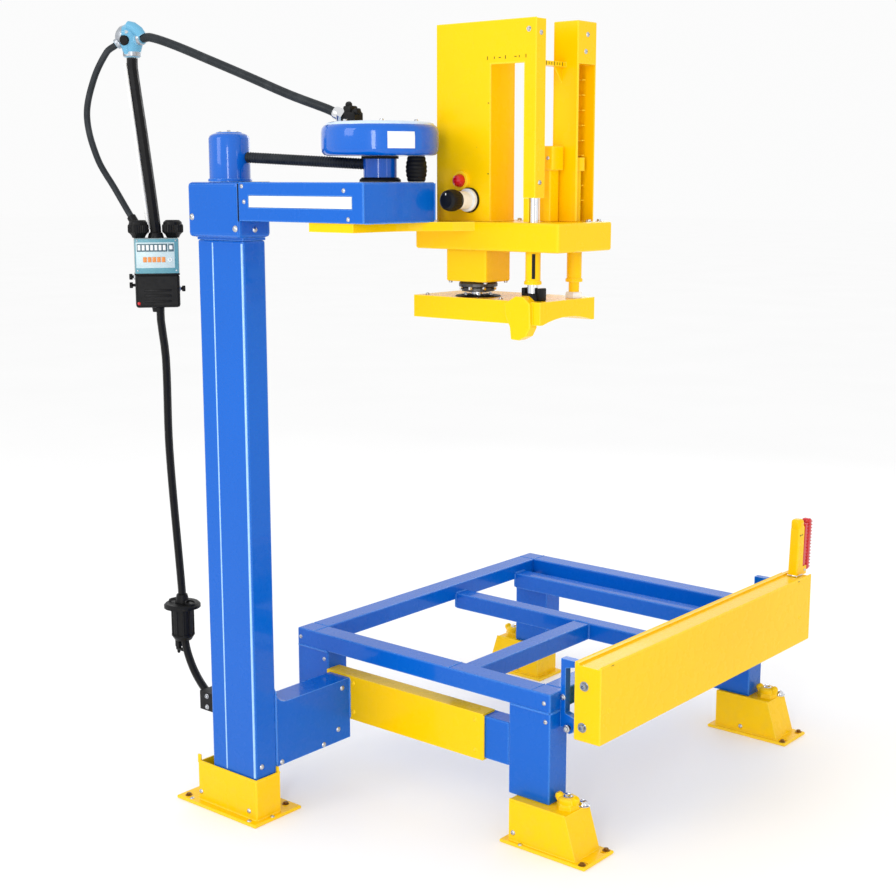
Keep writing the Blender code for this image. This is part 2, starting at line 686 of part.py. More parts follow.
def build_manifold():
    """The round rotary unit on the arm with its neck, bellows, conduit and hose fitting."""
    x, y = NECK
    arm_top = ARM_Z[1] + GAP
    neck = turned("manifold_neck", (x, y, 0),
                  [(0, DISC_Z[0] - GAP), (NECK_R, DISC_Z[0] - GAP), (NECK_R, arm_top + 0.006),
                   (NECK_R + 0.008, arm_top + 0.006), (NECK_R + 0.008, arm_top), (0, arm_top)],
                  "blue_paint")
    low, high = DISC_Z
    disc = turned("manifold_cover", (x, y, 0),
                  [(0, high + 0.014), (DISC_R * 0.55, high + 0.012), (DISC_R * 0.85, high + 0.003),
                   (DISC_R * 0.96, high - 0.010), (DISC_R, high - 0.026), (DISC_R, low + 0.016),
                   (DISC_R * 0.95, low + 0.002), (DISC_R * 0.90, low), (0, low)],
                  "blue_paint", steps=48)
    top = low - GAP
    pitch = (top - arm_top - GAP) / BELLOWS_RIBS
    profile = [(0, top), (BELLOWS_R[0], top)]
    for index in range(BELLOWS_RIBS):
        profile += [(BELLOWS_R[1], top - (index + 0.5) * pitch),
                    (BELLOWS_R[0], top - (index + 1) * pitch)]
    profile.append((0, arm_top + GAP))
    bellows = turned("cable_bellows", (*BELLOWS, 0), profile, "black_plastic", steps=24)
    return [neck, disc, bellows, build_conduit(), build_fitting()]


def build_conduit():
    """The corrugated conduit from the spindle housing to the manifold's neck."""
    start = Vector((AXIS_X, AXIS_Y, CONDUIT_Z[0]))
    end = Vector((*NECK, CONDUIT_Z[1]))
    run = (end - start).normalized()
    first = start + run * (SPINDLE_R + END_GAP)
    last = end - run * (NECK_R + END_GAP)
    return rod("conduit", first, last, CONDUIT_R, "rubber_hose", sides=20)


def build_fitting():
    """The angled hose fitting on the manifold's lid."""
    x, y, z = FITTING
    foot = box("hose_fitting", (x - 0.026, y - 0.020, z), (x + 0.034, y + 0.020, z + 0.028),
               "black_plastic", 0.005)
    collar = rod("collar", FITTING_MOUTH - FITTING_OUT * 0.034, FITTING_MOUTH, 0.016, sides=24)
    return join(foot, collar)


# ------------------------------------------------------------------ press
def build_cylinder():
    """The hydraulic cylinder in the tower, its lower housing and the gland ring."""
    inner = CYLINDER_R - CYLINDER_WALL
    bottom, top = RAM_HOUSING_LOW + 0.008 + GAP, TOWER_TOP - 0.060
    rod_gap = RAM_ROD_R + GAP
    cylinder = turned("cylinder_tube", (RAM_X, RAM_Y, 0),
                      [(0, top), (CYLINDER_R, top), (CYLINDER_R, bottom), (rod_gap, bottom),
                       (rod_gap, bottom + 0.020), (inner, bottom + 0.020),
                       (inner, top - 0.010), (0, top - 0.010)], "dark_steel", steps=24)
    low = (RAM_X - 0.070, RAM_Y - 0.055, RAM_HOUSING_LOW)
    high = (RAM_X + 0.070, RAM_Y + 0.055, BASE_Z[1] - 0.009 - GAP)
    housing = box("ram_housing", low, high, "yellow_paint", 0.005)
    cut(housing, rod("housing_bore", (RAM_X, RAM_Y, RAM_HOUSING_LOW + 0.008),
                     (RAM_X, RAM_Y, high[2] + 0.01), CYLINDER_R + GAP),
        rod("rod_hole", (RAM_X, RAM_Y, RAM_HOUSING_LOW - 0.01),
            (RAM_X, RAM_Y, RAM_HOUSING_LOW + 0.02), rod_gap, sides=24))
    gland_top = RAM_HOUSING_LOW - GAP
    gland = turned("ram_gland", (RAM_X, RAM_Y, 0),
                   [(0.050, gland_top), (0.054, gland_top - 0.006), (0.054, gland_top - 0.014),
                    (0.046, gland_top - 0.018), (0.046, gland_top - 0.027),
                    (rod_gap, gland_top - 0.027), (rod_gap, gland_top)],
                   "dark_steel", closed=True)
    return [cylinder, housing, gland]


def build_press():
    """What the ram moves: its rod and piston, the platen and two guide rods."""
    top = PLATEN_Z[1] + GAP
    piston = CYLINDER_R - CYLINDER_WALL - GAP
    ram = turned("ram_rod", (RAM_X, RAM_Y, 0),
                 [(0, PISTON_TOP), (piston, PISTON_TOP), (piston, PISTON_TOP - 0.040),
                  (RAM_ROD_R, PISTON_TOP - 0.040), (RAM_ROD_R, top), (0, top)], "chrome")
    (x0, x1), (y0, y1), (low, high) = PLATEN_X, PLATEN_Y, PLATEN_Z
    half = (y1 - y0) / 2 - PLATEN_FOOT
    radius = (half ** 2 + PLATEN_RISE ** 2) / (2 * PLATEN_RISE)
    reach = math.degrees(math.asin(half / radius))
    arch = arc((y0 + y1) / 2, low + PLATEN_RISE - radius, radius, 90 + reach, 90 - reach, 9)
    platen = slab("platen", [(y0, high), (y0, low)] + arch + [(y1, low), (y1, high)],
                  x0, x1, "yellow_paint", plane="YZ")
    add_bevel(platen, 0.004)
    claw = slab("claw", [(x1 - 0.112, high - 0.007), (x1 - 0.074, high + 0.014),
                         (x1 - 0.050, high + 0.014), (x1 - 0.027, high - 0.003),
                         (x1 - 0.025, low - 0.008), (x1 - 0.037, low - 0.030),
                         (x1 - 0.062, low - 0.042), (x1 - 0.088, low - 0.041),
                         (x1 - 0.092, low - 0.008), (x1 - 0.107, low + 0.022)],
                y0 - 0.012, y0 + 0.022, plane="XZ")
    add_bevel(claw, 0.003)
    join(platen, claw)
    front_rod = rod("guide_rod_front", (*FRONT_ROD, top), (*FRONT_ROD, FRONT_ROD_TOP), ROD_R,
                    "chrome", sides=24)
    stop = BASE_Z[1] + STOP_LIFT
    rear_rod = turned("guide_rod_rear", (*REAR_ROD, 0),
                      [(0, REAR_ROD_TOP), (STOP_R, REAR_ROD_TOP), (STOP_R, stop), (ROD_R, stop),
                       (ROD_R, top), (0, top)], "yellow_paint", steps=24)
    return [ram, platen, front_rod, rear_rod]


def build_guide_post():
    """The square post with a wider block on top, beside the rear rod."""
    (x0, x1), (y0, y1) = GUIDE_POST_X, GUIDE_POST_Y
    post = box("guide_post", (x0, y0, BASE_Z[1] + GAP), (x1, y1, GUIDE_POST_TOP - 0.030),
               "yellow_paint", 0.003)
    head = box("guide_head", (x0 - 0.008, y0 - 0.007, GUIDE_POST_TOP - 0.064),
               (x1 + 0.012, y1 + 0.006, GUIDE_POST_TOP), bevel=0.004)
    return join(post, head)


# ------------------------------------------------------------------ controls on the tower
def build_valve():
    """The control valve on the tower's front: a fixed body and a turning knob."""
    x, z = VALVE_X, VALVE_Z
    face = TOWER_Y - GAP
    body = turned("valve_body", (x, face, z),
                  [(0, 0.062), (0.0235, 0.062), (0.0245, 0.058), (0.0245, 0.014),
                   (0.031, 0.014), (0.031, 0), (0, 0)], "white_plastic", direction=(0, -1, 0))
    knob = turned("valve_knob", (x, face - 0.062 - GAP, z),
                  [(0, 0.040), (0.020, 0.039), (0.0265, 0.033), (0.028, 0.026), (0.028, 0.004),
                   (0.026, 0), (0, 0)], "black_plastic", direction=(0, -1, 0))
    button = turned("red_button", (BUTTON_X, TOWER_Y - BUTTON_TRAVEL - GAP, BUTTON_Z),
                    [(0, 0.026), (0.008, 0.024), (0.014, 0.019), (0.0175, 0.010), (BUTTON_R, 0.004),
                     (BUTTON_R, 0), (STEM_R, 0), (STEM_R, -0.012), (0, -0.012)],
                    "red_plastic", steps=24, direction=(0, -1, 0))
    return body, knob, button


# ------------------------------------------------------------------ side guard
def build_guard_hinge():
    """Two C-shaped brackets on the bed and the long rod that the guard turns on."""
    pieces = []
    inner, outer = BED_WIDTH + GAP, GUARD_X[0] - 0.004
    top = BED_TOP + 0.097
    for place, y in zip(("front", "rear"), BRACKET_Y):
        outline = [(inner, HINGE_Z + 0.070), (inner, HINGE_Z - 0.004)]
        outline += arc(HINGE_X, HINGE_Z, LUG_R, 190, 350, 8)
        outline += [(outer, HINGE_Z + 0.012), (outer, HINGE_Z + 0.030),
                    (inner + 0.016, HINGE_Z + 0.040), (inner + 0.016, top - 0.026),
                    (outer, top - 0.018), (outer, top), (inner, top), (inner, BED_TOP)]
        plate = slab("guard_bracket_" + place, outline, y, y + LUG_WIDTH, "blue_paint", plane="XZ")
        cut(plate, rod("pin_hole", (HINGE_X, y - 0.01, HINGE_Z),
                       (HINGE_X, y + LUG_WIDTH + 0.01, HINGE_Z), HINGE_R + GAP, sides=20))
        pieces.append(plate)
    pieces.append(rod("guard_hinge_rod", (HINGE_X, BRACKET_Y[0] - 0.012, HINGE_Z),
                      (HINGE_X, BRACKET_Y[1] + 2 * LUG_WIDTH + 0.020, HINGE_Z),
                      HINGE_R, "dark_steel", sides=20))
    return pieces


def build_guard():
    """The side guard with its hinge lugs, the grip post and the squeeze lever."""
    low = (GUARD_X[0], GUARD_Y[0], GUARD_Z[0])
    high = (GUARD_X[1], GUARD_Y[1], GUARD_Z[1])
    guard = box("side_guard", low, high, "yellow_paint", 0.003, 1)
    wall = 0.006
    cut(guard, box("guard_inside", (low[0] + wall, low[1] + wall, low[2] - 0.01),
                   (high[0] - wall, high[1] - wall, high[2] - 2 * wall)),
        box("guard_top_channel", (low[0] + 0.016, low[1] - 0.01, high[2] - wall),
            (high[0] - wall, high[1] + 0.01, high[2] + 0.01)))
    for y in BRACKET_Y:
        start = y + LUG_WIDTH + GAP
        outline = arc(HINGE_X, HINGE_Z, LUG_R, 90, 270, 10)
        outline += [(low[0] + wall / 2, HINGE_Z - LUG_R), (low[0] + wall / 2, HINGE_Z + LUG_R)]
        join(guard, slab("lug", outline, start, start + LUG_WIDTH, plane="XZ"))
        cut(guard, rod("lug_bore", (HINGE_X, start - 0.01, HINGE_Z),
                       (HINGE_X, start + LUG_WIDTH + 0.01, HINGE_Z), HINGE_R + GAP, sides=20))

    base = high[2] - wall + GAP
    post = slab("grip_post", [(GRIP_Y - 0.052, base), (GRIP_Y - 0.010, base),
                              (GRIP_Y - 0.006, GRIP_TOP - 0.008), (GRIP_Y - 0.014, GRIP_TOP),
                              (GRIP_Y - 0.036, GRIP_TOP), (GRIP_Y - 0.044, GRIP_TOP - 0.012)],
                *GRIP_X, "yellow_paint", plane="YZ")
    add_bevel(post, 0.004)
    (x0, x1), (pin_y, pin_z) = GRIP_X, LEVER_PIN
    cheeks = box("fork", (x0 + 0.0015, GRIP_Y - 0.020, base + 0.001),
                 (x1 - 0.0015, pin_y + 0.012, pin_z + 0.014))
    slot = box("fork_slot", (x0 + FORK_WALL, GRIP_Y - 0.006, base - 0.01),
               (x1 - FORK_WALL, pin_y + 0.02, pin_z + 0.03))
    pin = rod("fork_pin", (x0 + 0.003, pin_y, pin_z), (x1 - 0.003, pin_y, pin_z), PIN_R, sides=16)
    join(cut(join(post, cheeks), slot), pin)
    lever = slab("squeeze_lever", [(pin_y - 0.009, base + 0.002), (pin_y + 0.009, base + 0.002),
                                   (GRIP_Y + 0.040, GRIP_TOP - 0.004), (GRIP_Y + 0.034, GRIP_TOP),
                                   (GRIP_Y + 0.014, GRIP_TOP), (GRIP_Y + 0.010, GRIP_TOP - 0.006)],
                 x0 + FORK_WALL + GAP, x1 - FORK_WALL - GAP, "red_plastic", plane="YZ")
    add_bevel(lever, 0.003)
    cut(lever, rod("pin_bore", (x0, pin_y, pin_z), (x1, pin_y, pin_z), PIN_R + GAP, sides=16))
    return guard, post, lever


# ------------------------------------------------------------------ pendant mast
def build_mast():
    """The tube stand at the column's side that carries the pendant and the hoses."""
    x, y = MAST_X, MAST_Y
    face = COLUMN_X[0] - GAP
    bend = bpy.data.objects.new("mast_bend", route_curve(
        "mast_bend", [(0.030, y, 0.325), (-0.010, y, 0.333), (-0.070, y, 0.385),
                      (-0.108, y, 0.450), (x, y, 0.520)], MAST_R, 20))
    elbow = mesh_from_curve("mast_socket", bend, "black_plastic")
    socket = turned("socket_body", (x, y, 0),
                    [(0, SOCKET_TOP), (0.050, SOCKET_TOP), (0.056, SOCKET_TOP - 0.006),
                     (0.056, SOCKET_TOP - 0.014), (0.034, SOCKET_TOP - 0.018),
                     (0.033, SOCKET_TOP - 0.106), (0.026, SOCKET_TOP - 0.118),
                     (0, SOCKET_TOP - 0.118)], None)
    clamp = box("column_clamp", (-0.020, y - 0.030, 0.296), (face, y + 0.030, 0.354))
    join(elbow, socket, clamp)
    end_x = PENDANT_X + 0.010
    lower = tube("mast_tube", [(x, y, SOCKET_TOP + END_GAP), (x, y, SOCKET_TOP + 0.040),
                               (x - 0.036, y, 1.080), (x - 0.038, y, 1.360),
                               (end_x, y, PENDANT_Z[0] - 0.040), (end_x, y, PENDANT_Z[0] - END_GAP)],
                 MAST_R, "black_plastic", 24)
    pole_top = MAST_HEAD - Vector((0, 0, MAST_HEAD_HALF + END_GAP))
    upper = tube("mast_pole", [(PENDANT_X, PENDANT_Y, PENDANT_Z[2] + END_GAP),
                               (PENDANT_X, PENDANT_Y, PENDANT_Z[2] + 0.030),
                               (PENDANT_X - 0.038, PENDANT_Y - 0.003, 2.000),
                               pole_top - Vector((0, 0, 0.030)), pole_top],
                 POLE_R, "black_plastic", 16)
    return [elbow, lower, upper]


def build_mast_head():
    """The cast hose bracket on top of the pole, with a nozzle for each hose."""
    half = MAST_HEAD_HALF
    profile = [(0, 0.046), (0.016, 0.043), (0.028, 0.034), (0.034, 0.018), (0.034, -0.010),
               (0.027, -0.034), (0.022, -half), (0, -half)]
    head = turned("mast_head", MAST_HEAD, profile, "pale_blue_metal", steps=24)
    for mouth, out, radius in ((FEED_MOUTH, FEED_OUT, 0.0165), (LOOP_MOUTH, LOOP_OUT, 0.0135)):
        join(head, rod("nozzle", mouth - out * 0.045, mouth, radius, sides=20))
    return head


def build_pendant():
    """The pendant box in two halves, with its hose gland and its turning knob."""
    half_width, half_depth = PENDANT_WIDTH / 2, PENDANT_DEPTH / 2
    low, middle, high = PENDANT_Z
    case = box("pendant_case", (-half_width, -half_depth, low),
               (half_width, half_depth, middle - GAP), "black_plastic", 0.008, 2)
    cover = box("pendant_cover", (-half_width, -half_depth, middle),
                (half_width, half_depth, high), "grey_plastic", 0.004, 2)
    for piece in (case, cover):
        height = piece.location.z
        piece.location = (PENDANT_X, PENDANT_Y, height)
        piece.rotation_euler = (0, 0, PENDANT_TURN)
    side = Vector((math.cos(PENDANT_TURN), math.sin(PENDANT_TURN), 0)) * KNOB_OFFSET
    middle = Vector((PENDANT_X, PENDANT_Y, high + GAP))
    gland = turned("pendant_gland", middle - side, KNOB_PROFILE, "black_plastic", steps=24)
    join(gland, rod("nozzle", GLAND_MOUTH - GLAND_OUT * 0.035, GLAND_MOUTH, 0.0135, sides=20))
    knob = turned("pendant_knob", middle + side, KNOB_PROFILE, "black_plastic", steps=24)
    return [case, cover, gland], knob


def build_hoses():
    """The feed hose to the manifold and the loop hose to the pendant."""
    feed = tube("hose_feed",
                [FEED_MOUTH + FEED_OUT * END_GAP, FEED_MOUTH + FEED_OUT * 0.030,
                 (-0.103, -0.357, 2.270), (0.028, -0.338, 2.223), (0.155, -0.318, 2.176),
                 (0.312, -0.295, 2.117), FITTING_MOUTH + FITTING_OUT * 0.030,
                 FITTING_MOUTH + FITTING_OUT * END_GAP],
                FEED_R, "rubber_hose", 36)
    loop = tube("hose_loop",
                [LOOP_MOUTH + LOOP_OUT * END_GAP, LOOP_MOUTH + LOOP_OUT * 0.035,
                 (-0.352, -0.450, 2.175), (-0.3696, -0.4655, 2.070), (-0.350, -0.449, 1.950),
                 (-0.308, -0.4200, 1.858), GLAND_MOUTH + GLAND_OUT * 0.035,
                 GLAND_MOUTH + GLAND_OUT * END_GAP],
                LOOP_R, "rubber_hose", 44)
    return feed, loop


# ------------------------------------------------------------------ assembly
def assemble():
    """Build every piece and hang it on the empty of the body that it moves with."""
    arm = add_empty("arm_axis", (AXIS_X, AXIS_Y, 0), CORNER)
    press = add_empty("press_axis", (RAM_X, RAM_Y, PLATEN_Z[1]), arm)
    valve = add_empty("valve_axis", (VALVE_X, TOWER_Y, VALVE_Z), arm)
    button = add_empty("button_axis", (BUTTON_X, TOWER_Y, BUTTON_Z), arm)
    guard_hinge = add_empty("guard_axis", (HINGE_X, 0, HINGE_Z), CORNER)
    lever_hinge = add_empty("lever_axis", (sum(GRIP_X) / 2, *LEVER_PIN), guard_hinge)

    fixed = build_rails() + build_legs() + build_lower_beam() + build_feet() + build_column()
    fixed += build_guard_hinge() + build_mast() + [build_mast_head()]
    pendant, pendant_knob = build_pendant()
    feed, loop = build_hoses()
    fixed += pendant + [loop, feed]
    swinging = build_head() + build_arm() + [build_base_plate()] + build_tower()
    swinging += build_manifold() + build_cylinder() + [build_guide_post()]
    valve_body, valve_knob, red_button = build_valve()
    guard, grip, lever = build_guard()

    for carrier, pieces in ((CORNER, fixed + [pendant_knob]), (arm, swinging + [valve_body]),
                            (press, build_press()), (valve, [valve_knob]),
                            (button, [red_button]), (guard_hinge, [guard, grip]),
                            (lever_hinge, [lever])):
        for piece in pieces:
            attach(piece, carrier)
            for change in piece.modifiers:
                if change.type == "BOOLEAN":
                    attach(change.object, carrier)


assemble()
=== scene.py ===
"""The looks of the tire changer: enamel, castings, fasteners, hoses and controls around
the fixed CAD frame. Places are given in the bed's layout: metres from the bed's front
left corner on the floor, with X along the front rail and Y towards the back. Only the
profiles that are turned into round shapes are in millimetres."""

import json
import math

import bmesh
import bpy
from mathutils import Matrix, Vector


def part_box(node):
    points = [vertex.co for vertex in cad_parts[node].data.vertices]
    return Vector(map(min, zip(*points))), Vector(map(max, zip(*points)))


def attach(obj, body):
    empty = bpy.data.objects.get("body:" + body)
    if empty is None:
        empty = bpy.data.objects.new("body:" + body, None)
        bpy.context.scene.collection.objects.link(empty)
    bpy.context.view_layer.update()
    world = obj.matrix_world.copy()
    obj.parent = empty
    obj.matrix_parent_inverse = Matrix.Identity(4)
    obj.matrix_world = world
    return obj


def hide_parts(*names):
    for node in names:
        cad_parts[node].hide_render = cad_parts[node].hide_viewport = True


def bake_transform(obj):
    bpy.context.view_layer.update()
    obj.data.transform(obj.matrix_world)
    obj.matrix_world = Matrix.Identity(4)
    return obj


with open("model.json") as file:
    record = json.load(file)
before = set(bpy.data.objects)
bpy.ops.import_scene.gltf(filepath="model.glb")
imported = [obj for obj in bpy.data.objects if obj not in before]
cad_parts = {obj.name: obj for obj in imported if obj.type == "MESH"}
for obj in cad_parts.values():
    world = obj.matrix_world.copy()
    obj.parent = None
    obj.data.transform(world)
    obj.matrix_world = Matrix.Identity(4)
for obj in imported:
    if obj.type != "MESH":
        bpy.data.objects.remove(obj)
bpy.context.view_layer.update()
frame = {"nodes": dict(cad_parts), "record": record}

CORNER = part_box("bed_front_rail")[0].copy()
CORNER.z = 0.0
UP, DOWN = Vector((0, 0, 1)), Vector((0, 0, -1))
RIGHT, LEFT = Vector((1, 0, 0)), Vector((-1, 0, 0))
FRONT, BACK = Vector((0, -1, 0)), Vector((0, 1, 0))
SHARP = math.radians(35)        # faces that meet at more than this keep a hard edge
SKY = 0.97                      # how bright the room is all round
PAPER = 0.88                    # how much of the light the floor gives back
MM = 0.001


def at(x, y, z):
    """A place in the bed's layout, as a place in the frame."""
    return CORNER + Vector((x, y, z))


# ------------------------------------------------------------------ camera, light, floor
def make_camera():
    """The camera stands at the machine's front right, a little above the press."""
    data = bpy.data.cameras.new("camera")
    data.lens = 59.28
    data.sensor_width = 36.0
    camera = bpy.data.objects.new("camera", data)
    camera.location = at(3.311, -3.219, 1.892)
    camera.rotation_euler = (math.radians(90) - 0.181, 0.0, 0.694)
    bpy.context.scene.collection.objects.link(camera)
    bpy.context.scene.camera = camera


def make_light(name, place, target, size, power):
    """A soft rectangular studio light that faces a target."""
    data = bpy.data.lights.new(name, "AREA")
    data.shape = "RECTANGLE"
    data.size, data.size_y = size
    data.energy = power
    light = bpy.data.objects.new(name, data)
    light.location = place
    light.rotation_euler = (Vector(place) - Vector(target)).to_track_quat("Z", "Y").to_euler()
    bpy.context.scene.collection.objects.link(light)


def make_studio():
    """A white room: a pale floor, even light from all round and four soft boxes."""
    world = bpy.data.worlds.new("studio")
    world.use_nodes = True
    sky = world.node_tree.nodes["Background"]
    sky.inputs["Color"].default_value = (1.0, 1.0, 1.0, 1.0)
    sky.inputs["Strength"].default_value = SKY
    bpy.context.scene.world = world
    make_light("key", (-1.2, -4.4, 3.4), (0, 0, 1.1), (1.5, 2.0), 33)
    make_light("left_strip", (2.1, -4.0, 1.9), (-0.3, -0.8, 1.6), (0.5, 2.8), 42)
    make_light("right_strip", (4.5, -0.8, 1.9), (-0.3, -0.8, 1.6), (0.4, 2.8), 8)
    make_light("back", (-1.6, 4.2, 3.2), (0, 0, 1.2), (2.0, 2.0), 26)
    mesh = bpy.data.meshes.new("floor")
    work = bmesh.new()
    bmesh.ops.create_grid(work, x_segments=4, y_segments=4, size=60.0)
    work.to_mesh(mesh)
    work.free()
    floor = bpy.data.objects.new("floor", mesh)
    bpy.context.scene.collection.objects.link(floor)
    mesh.materials.append(floor_finish())
    bpy.context.scene.view_settings.view_transform = "Standard"


# ------------------------------------------------------------------ materials
class Finish:
    """A Principled material with helpers for the procedural detail around it."""

    def __init__(self, name, colour, roughness, metallic=0.0):
        self.material = bpy.data.materials.new(name)
        self.material.use_nodes = True
        self.nodes = self.material.node_tree.nodes
        self.links = self.material.node_tree.links
        self.shader = self.nodes["Principled BSDF"]
        self.colour = (*colour, 1.0)
        self.set("Base Color", self.colour)
        self.set("Roughness", roughness)
        self.set("Metallic", metallic)
        self.bumps = None
        self.place = self.nodes.new("ShaderNodeTexCoord").outputs["Object"]

    def set(self, socket, value):
        """A constant on one of the shader's own sockets."""
        self.shader.inputs[socket].default_value = value

    def node(self, kind, **inputs):
        """A new node, whose inputs are constants or the outputs of other nodes."""
        made = self.nodes.new("ShaderNode" + kind)
        for name, value in inputs.items():
            socket = made.inputs[name.replace("_", " ")]
            if isinstance(value, bpy.types.NodeSocket):
                self.links.new(value, socket)
            else:
                socket.default_value = value
        return made

    def noise(self, scale, detail=3.0, roughness=0.5, stretch=None):
        """Fractal noise from 0 to 1 at so many cells a metre, stretched along each axis."""
        node = self.node("TexNoise", Scale=scale, Detail=detail, Roughness=roughness)
        place = self.place
        if stretch:
            place = self.node("Mapping", Vector=place, Scale=stretch).outputs["Vector"]
        self.links.new(place, node.inputs["Vector"])
        return node.outputs["Fac"]

    def spread(self, value, low, high, to_low=0.0, to_high=1.0):
        """Map a value's range onto another one, clamped."""
        return self.node("MapRange", Value=value, From_Min=low, From_Max=high,
                         To_Min=to_low, To_Max=to_high).outputs["Result"]

    def clouds(self, span, *noise):
        """Noise with a span of its values spread over 0 to 1, or over the span's last two."""
        return self.spread(self.noise(*noise), *span)

    def multiply(self, first, second):
        """The product of two values."""
        node = self.nodes.new("ShaderNodeMath")
        node.operation = "MULTIPLY"
        self.links.new(first, node.inputs[0])
        self.links.new(second, node.inputs[1])
        return node.outputs["Value"]

    def mix(self, share, first, second):
        """One colour turning into another as share goes from 0 to 1."""
        node = self.node("Mix", Factor=share)
        node.data_type = "RGBA"
        for socket, colour in (("A", first), ("B", second)):
            target = next(s for s in node.inputs if s.name == socket and s.type == "RGBA")
            if isinstance(colour, tuple):
                target.default_value = colour
            else:
                self.links.new(colour, target)
        return next(s for s in node.outputs if s.type == "RGBA")

    def edges(self, radius):
        """A mask that is 1 along the sharp edges and 0 on the flats."""
        rounded = self.node("Bevel", Radius=radius)
        rounded.samples = 4
        plain = self.nodes.new("ShaderNodeNewGeometry")
        dot = self.nodes.new("ShaderNodeVectorMath")
        dot.operation = "DOT_PRODUCT"
        self.links.new(rounded.outputs["Normal"], dot.inputs[0])
        self.links.new(plain.outputs["Normal"], dot.inputs[1])
        return self.spread(dot.outputs["Value"], 0.995, 0.9)

    def paint(self, socket, value):
        """Drive one of the shader's sockets from a node."""
        self.links.new(value, self.shader.inputs[socket])

    def tint(self, share, first, second):
        """Blend the base colour between two colours, or multiples of the material's own."""
        pair = [shade(self.colour, tone) if isinstance(tone, float) else tone
                for tone in (first, second)]
        self.paint("Base Color", self.mix(share, *pair))

    def uneven(self, low, high, *noise):
        """Let the roughness wander between two values."""
        self.paint("Roughness", self.clouds((0.3, 0.7, low, high), *noise))

    def bump(self, height, depth, strength):
        """Add surface relief of that depth in metres."""
        node = self.node("Bump", Height=height, Distance=depth, Strength=strength)
        if self.bumps:
            self.links.new(self.bumps, node.inputs["Normal"])
        self.bumps = node.outputs["Normal"]
        self.paint("Normal", self.bumps)


def shade(colour, factor):
    """The colour made darker or lighter by a factor."""
    return tuple(min(1.0, channel * factor) for channel in colour[:3]) + (1.0,)


def enamel(name, colour, edge, chip, coat=0.14):
    """Glossy enamel: orange peel, a painted highlight along the edges, dust low down, small chips.
    """
    made = Finish(name, colour, 0.26)
    made.set("Coat Weight", coat)
    made.set("Coat Roughness", 0.05)
    made.set("Specular IOR Level", 0.12)
    body = made.mix(made.clouds((0.30, 0.70), 1.6, 4), shade(made.colour, 0.96),
                    shade(made.colour, 1.03))
    # painted highlight: a lighter colour along the sharp edges, where light would catch them
    body = made.mix(made.spread(made.edges(0.0035), 0, 1, 0, 0.72), body, edge)
    height = made.node("SeparateXYZ", Vector=made.place).outputs["Z"]
    low_down = made.spread(height, 0.22, 0)
    dust = made.multiply(low_down, made.clouds((0.45, 0.78, 0, 0.1), 34, 6, 0.65))
    body = made.mix(dust, body, (0.3, 0.27, 0.23, 1.0))
    chips = made.clouds((0.755, 0.775), 72, 5, 0.62)
    worn = made.multiply(chips, made.clouds((0.53, 0.6), 5.5, 2))
    made.paint("Base Color", made.mix(worn, body, chip))
    made.paint("Roughness", made.clouds((0.3, 0.75, 0.24, 0.31), 21, 5, 0.6))
    made.bump(made.noise(310, 2), 0.0003, 0.03)
    made.bump(made.noise(22, 2), 0.001, 0.02)
    return made.material


def moulded(name, colour, roughness=0.42, grain=900):
    """Moulded plastic with a fine grain and a little handling shine."""
    made = Finish(name, colour, roughness)
    made.set("Specular IOR Level", 0.22)
    made.tint(made.clouds((0.3, 0.7), 42, 4), 0.84, 1.14)
    made.uneven(roughness - 0.08, roughness + 0.12, 60, 4)
    made.bump(made.noise(grain, 2), 0.00018, 0.35)
    return made.material


def gloss(name, colour):
    """Polished plastic with fine hairline scratches."""
    made = Finish(name, colour, 0.16)
    made.set("Coat Weight", 0.4)
    made.set("Coat Roughness", 0.03)
    made.tint(made.clouds((0.3, 0.7), 70), 0.93, 1.05)
    made.uneven(0.12, 0.26, 240, 3, 0.5, (1, 1, 6))
    return made.material


def hose_rubber(name, colour):
    """Extruded hose cover: satin, with faint lengthwise rubbing and dust."""
    made = Finish(name, colour, 0.46)
    made.set("Specular IOR Level", 0.25)
    made.tint(made.clouds((0.45, 0.8, 0, 0.16), 26, 5, 0.6), 1.0, (0.15, 0.16, 0.17, 1.0))
    made.uneven(0.36, 0.58, 90)
    made.bump(made.noise(700, 2), 0.0002, 0.3)
    return made.material


def polished(name, colour, roughness):
    """Hard chrome with faint polishing lines and an oil film."""
    made = Finish(name, colour, roughness, 1.0)
    made.tint(made.clouds((0.35, 0.75), 14), 1.0, 0.82)
    made.uneven(roughness, roughness + 0.12, 160, 3, 0.5, (1, 1, 0.15))
    return made.material


def turned_steel(name, colour, roughness):
    """Machined steel: tool marks round the axis, with dark oil in them."""
    made = Finish(name, colour, roughness, 0.95)
    marks = made.noise(260, 2, 0.5, (0.25, 0.25, 4))
    made.tint(made.spread(marks, 0.3, 0.7), 0.65, 1.2)
    made.uneven(roughness - 0.06, roughness + 0.16, 48, 4)
    made.bump(marks, 0.0002, 0.4)
    return made.material


def zinc(name, colour):
    """Bright zinc plate on a fastener, a little dulled."""
    made = Finish(name, colour, 0.26, 1.0)
    made.tint(made.clouds((0.38, 0.66), 130, 5, 0.6), 1.0, (0.4, 0.41, 0.44, 1.0))
    made.uneven(0.18, 0.42, 210)
    made.bump(made.noise(900, 2), 0.0001, 0.4)
    return made.material


def printed(name, colour):
    """A plastic label with a slight sheen and a few smudges."""
    made = Finish(name, colour, 0.3)
    made.tint(made.clouds((0.5, 0.8, 0, 0.5), 38, 5, 0.6), 1.0, 0.84)
    made.uneven(0.22, 0.44, 120)
    return made.material


def floor_finish():
    """Pale seamless paper, which glows just enough to meet the sky's tone far away."""
    made = Finish("floor_paper", (PAPER, PAPER, PAPER), 0.75)
    made.tint(made.clouds((0.3, 0.7), 0.9), 0.985, 1.0)
    made.set("Specular IOR Level", 0.0)
    made.set("Emission Color", (1.0, 1.0, 1.0, 1.0))
    made.set("Emission Strength", (1.0 - PAPER) * SKY)
    return made.material
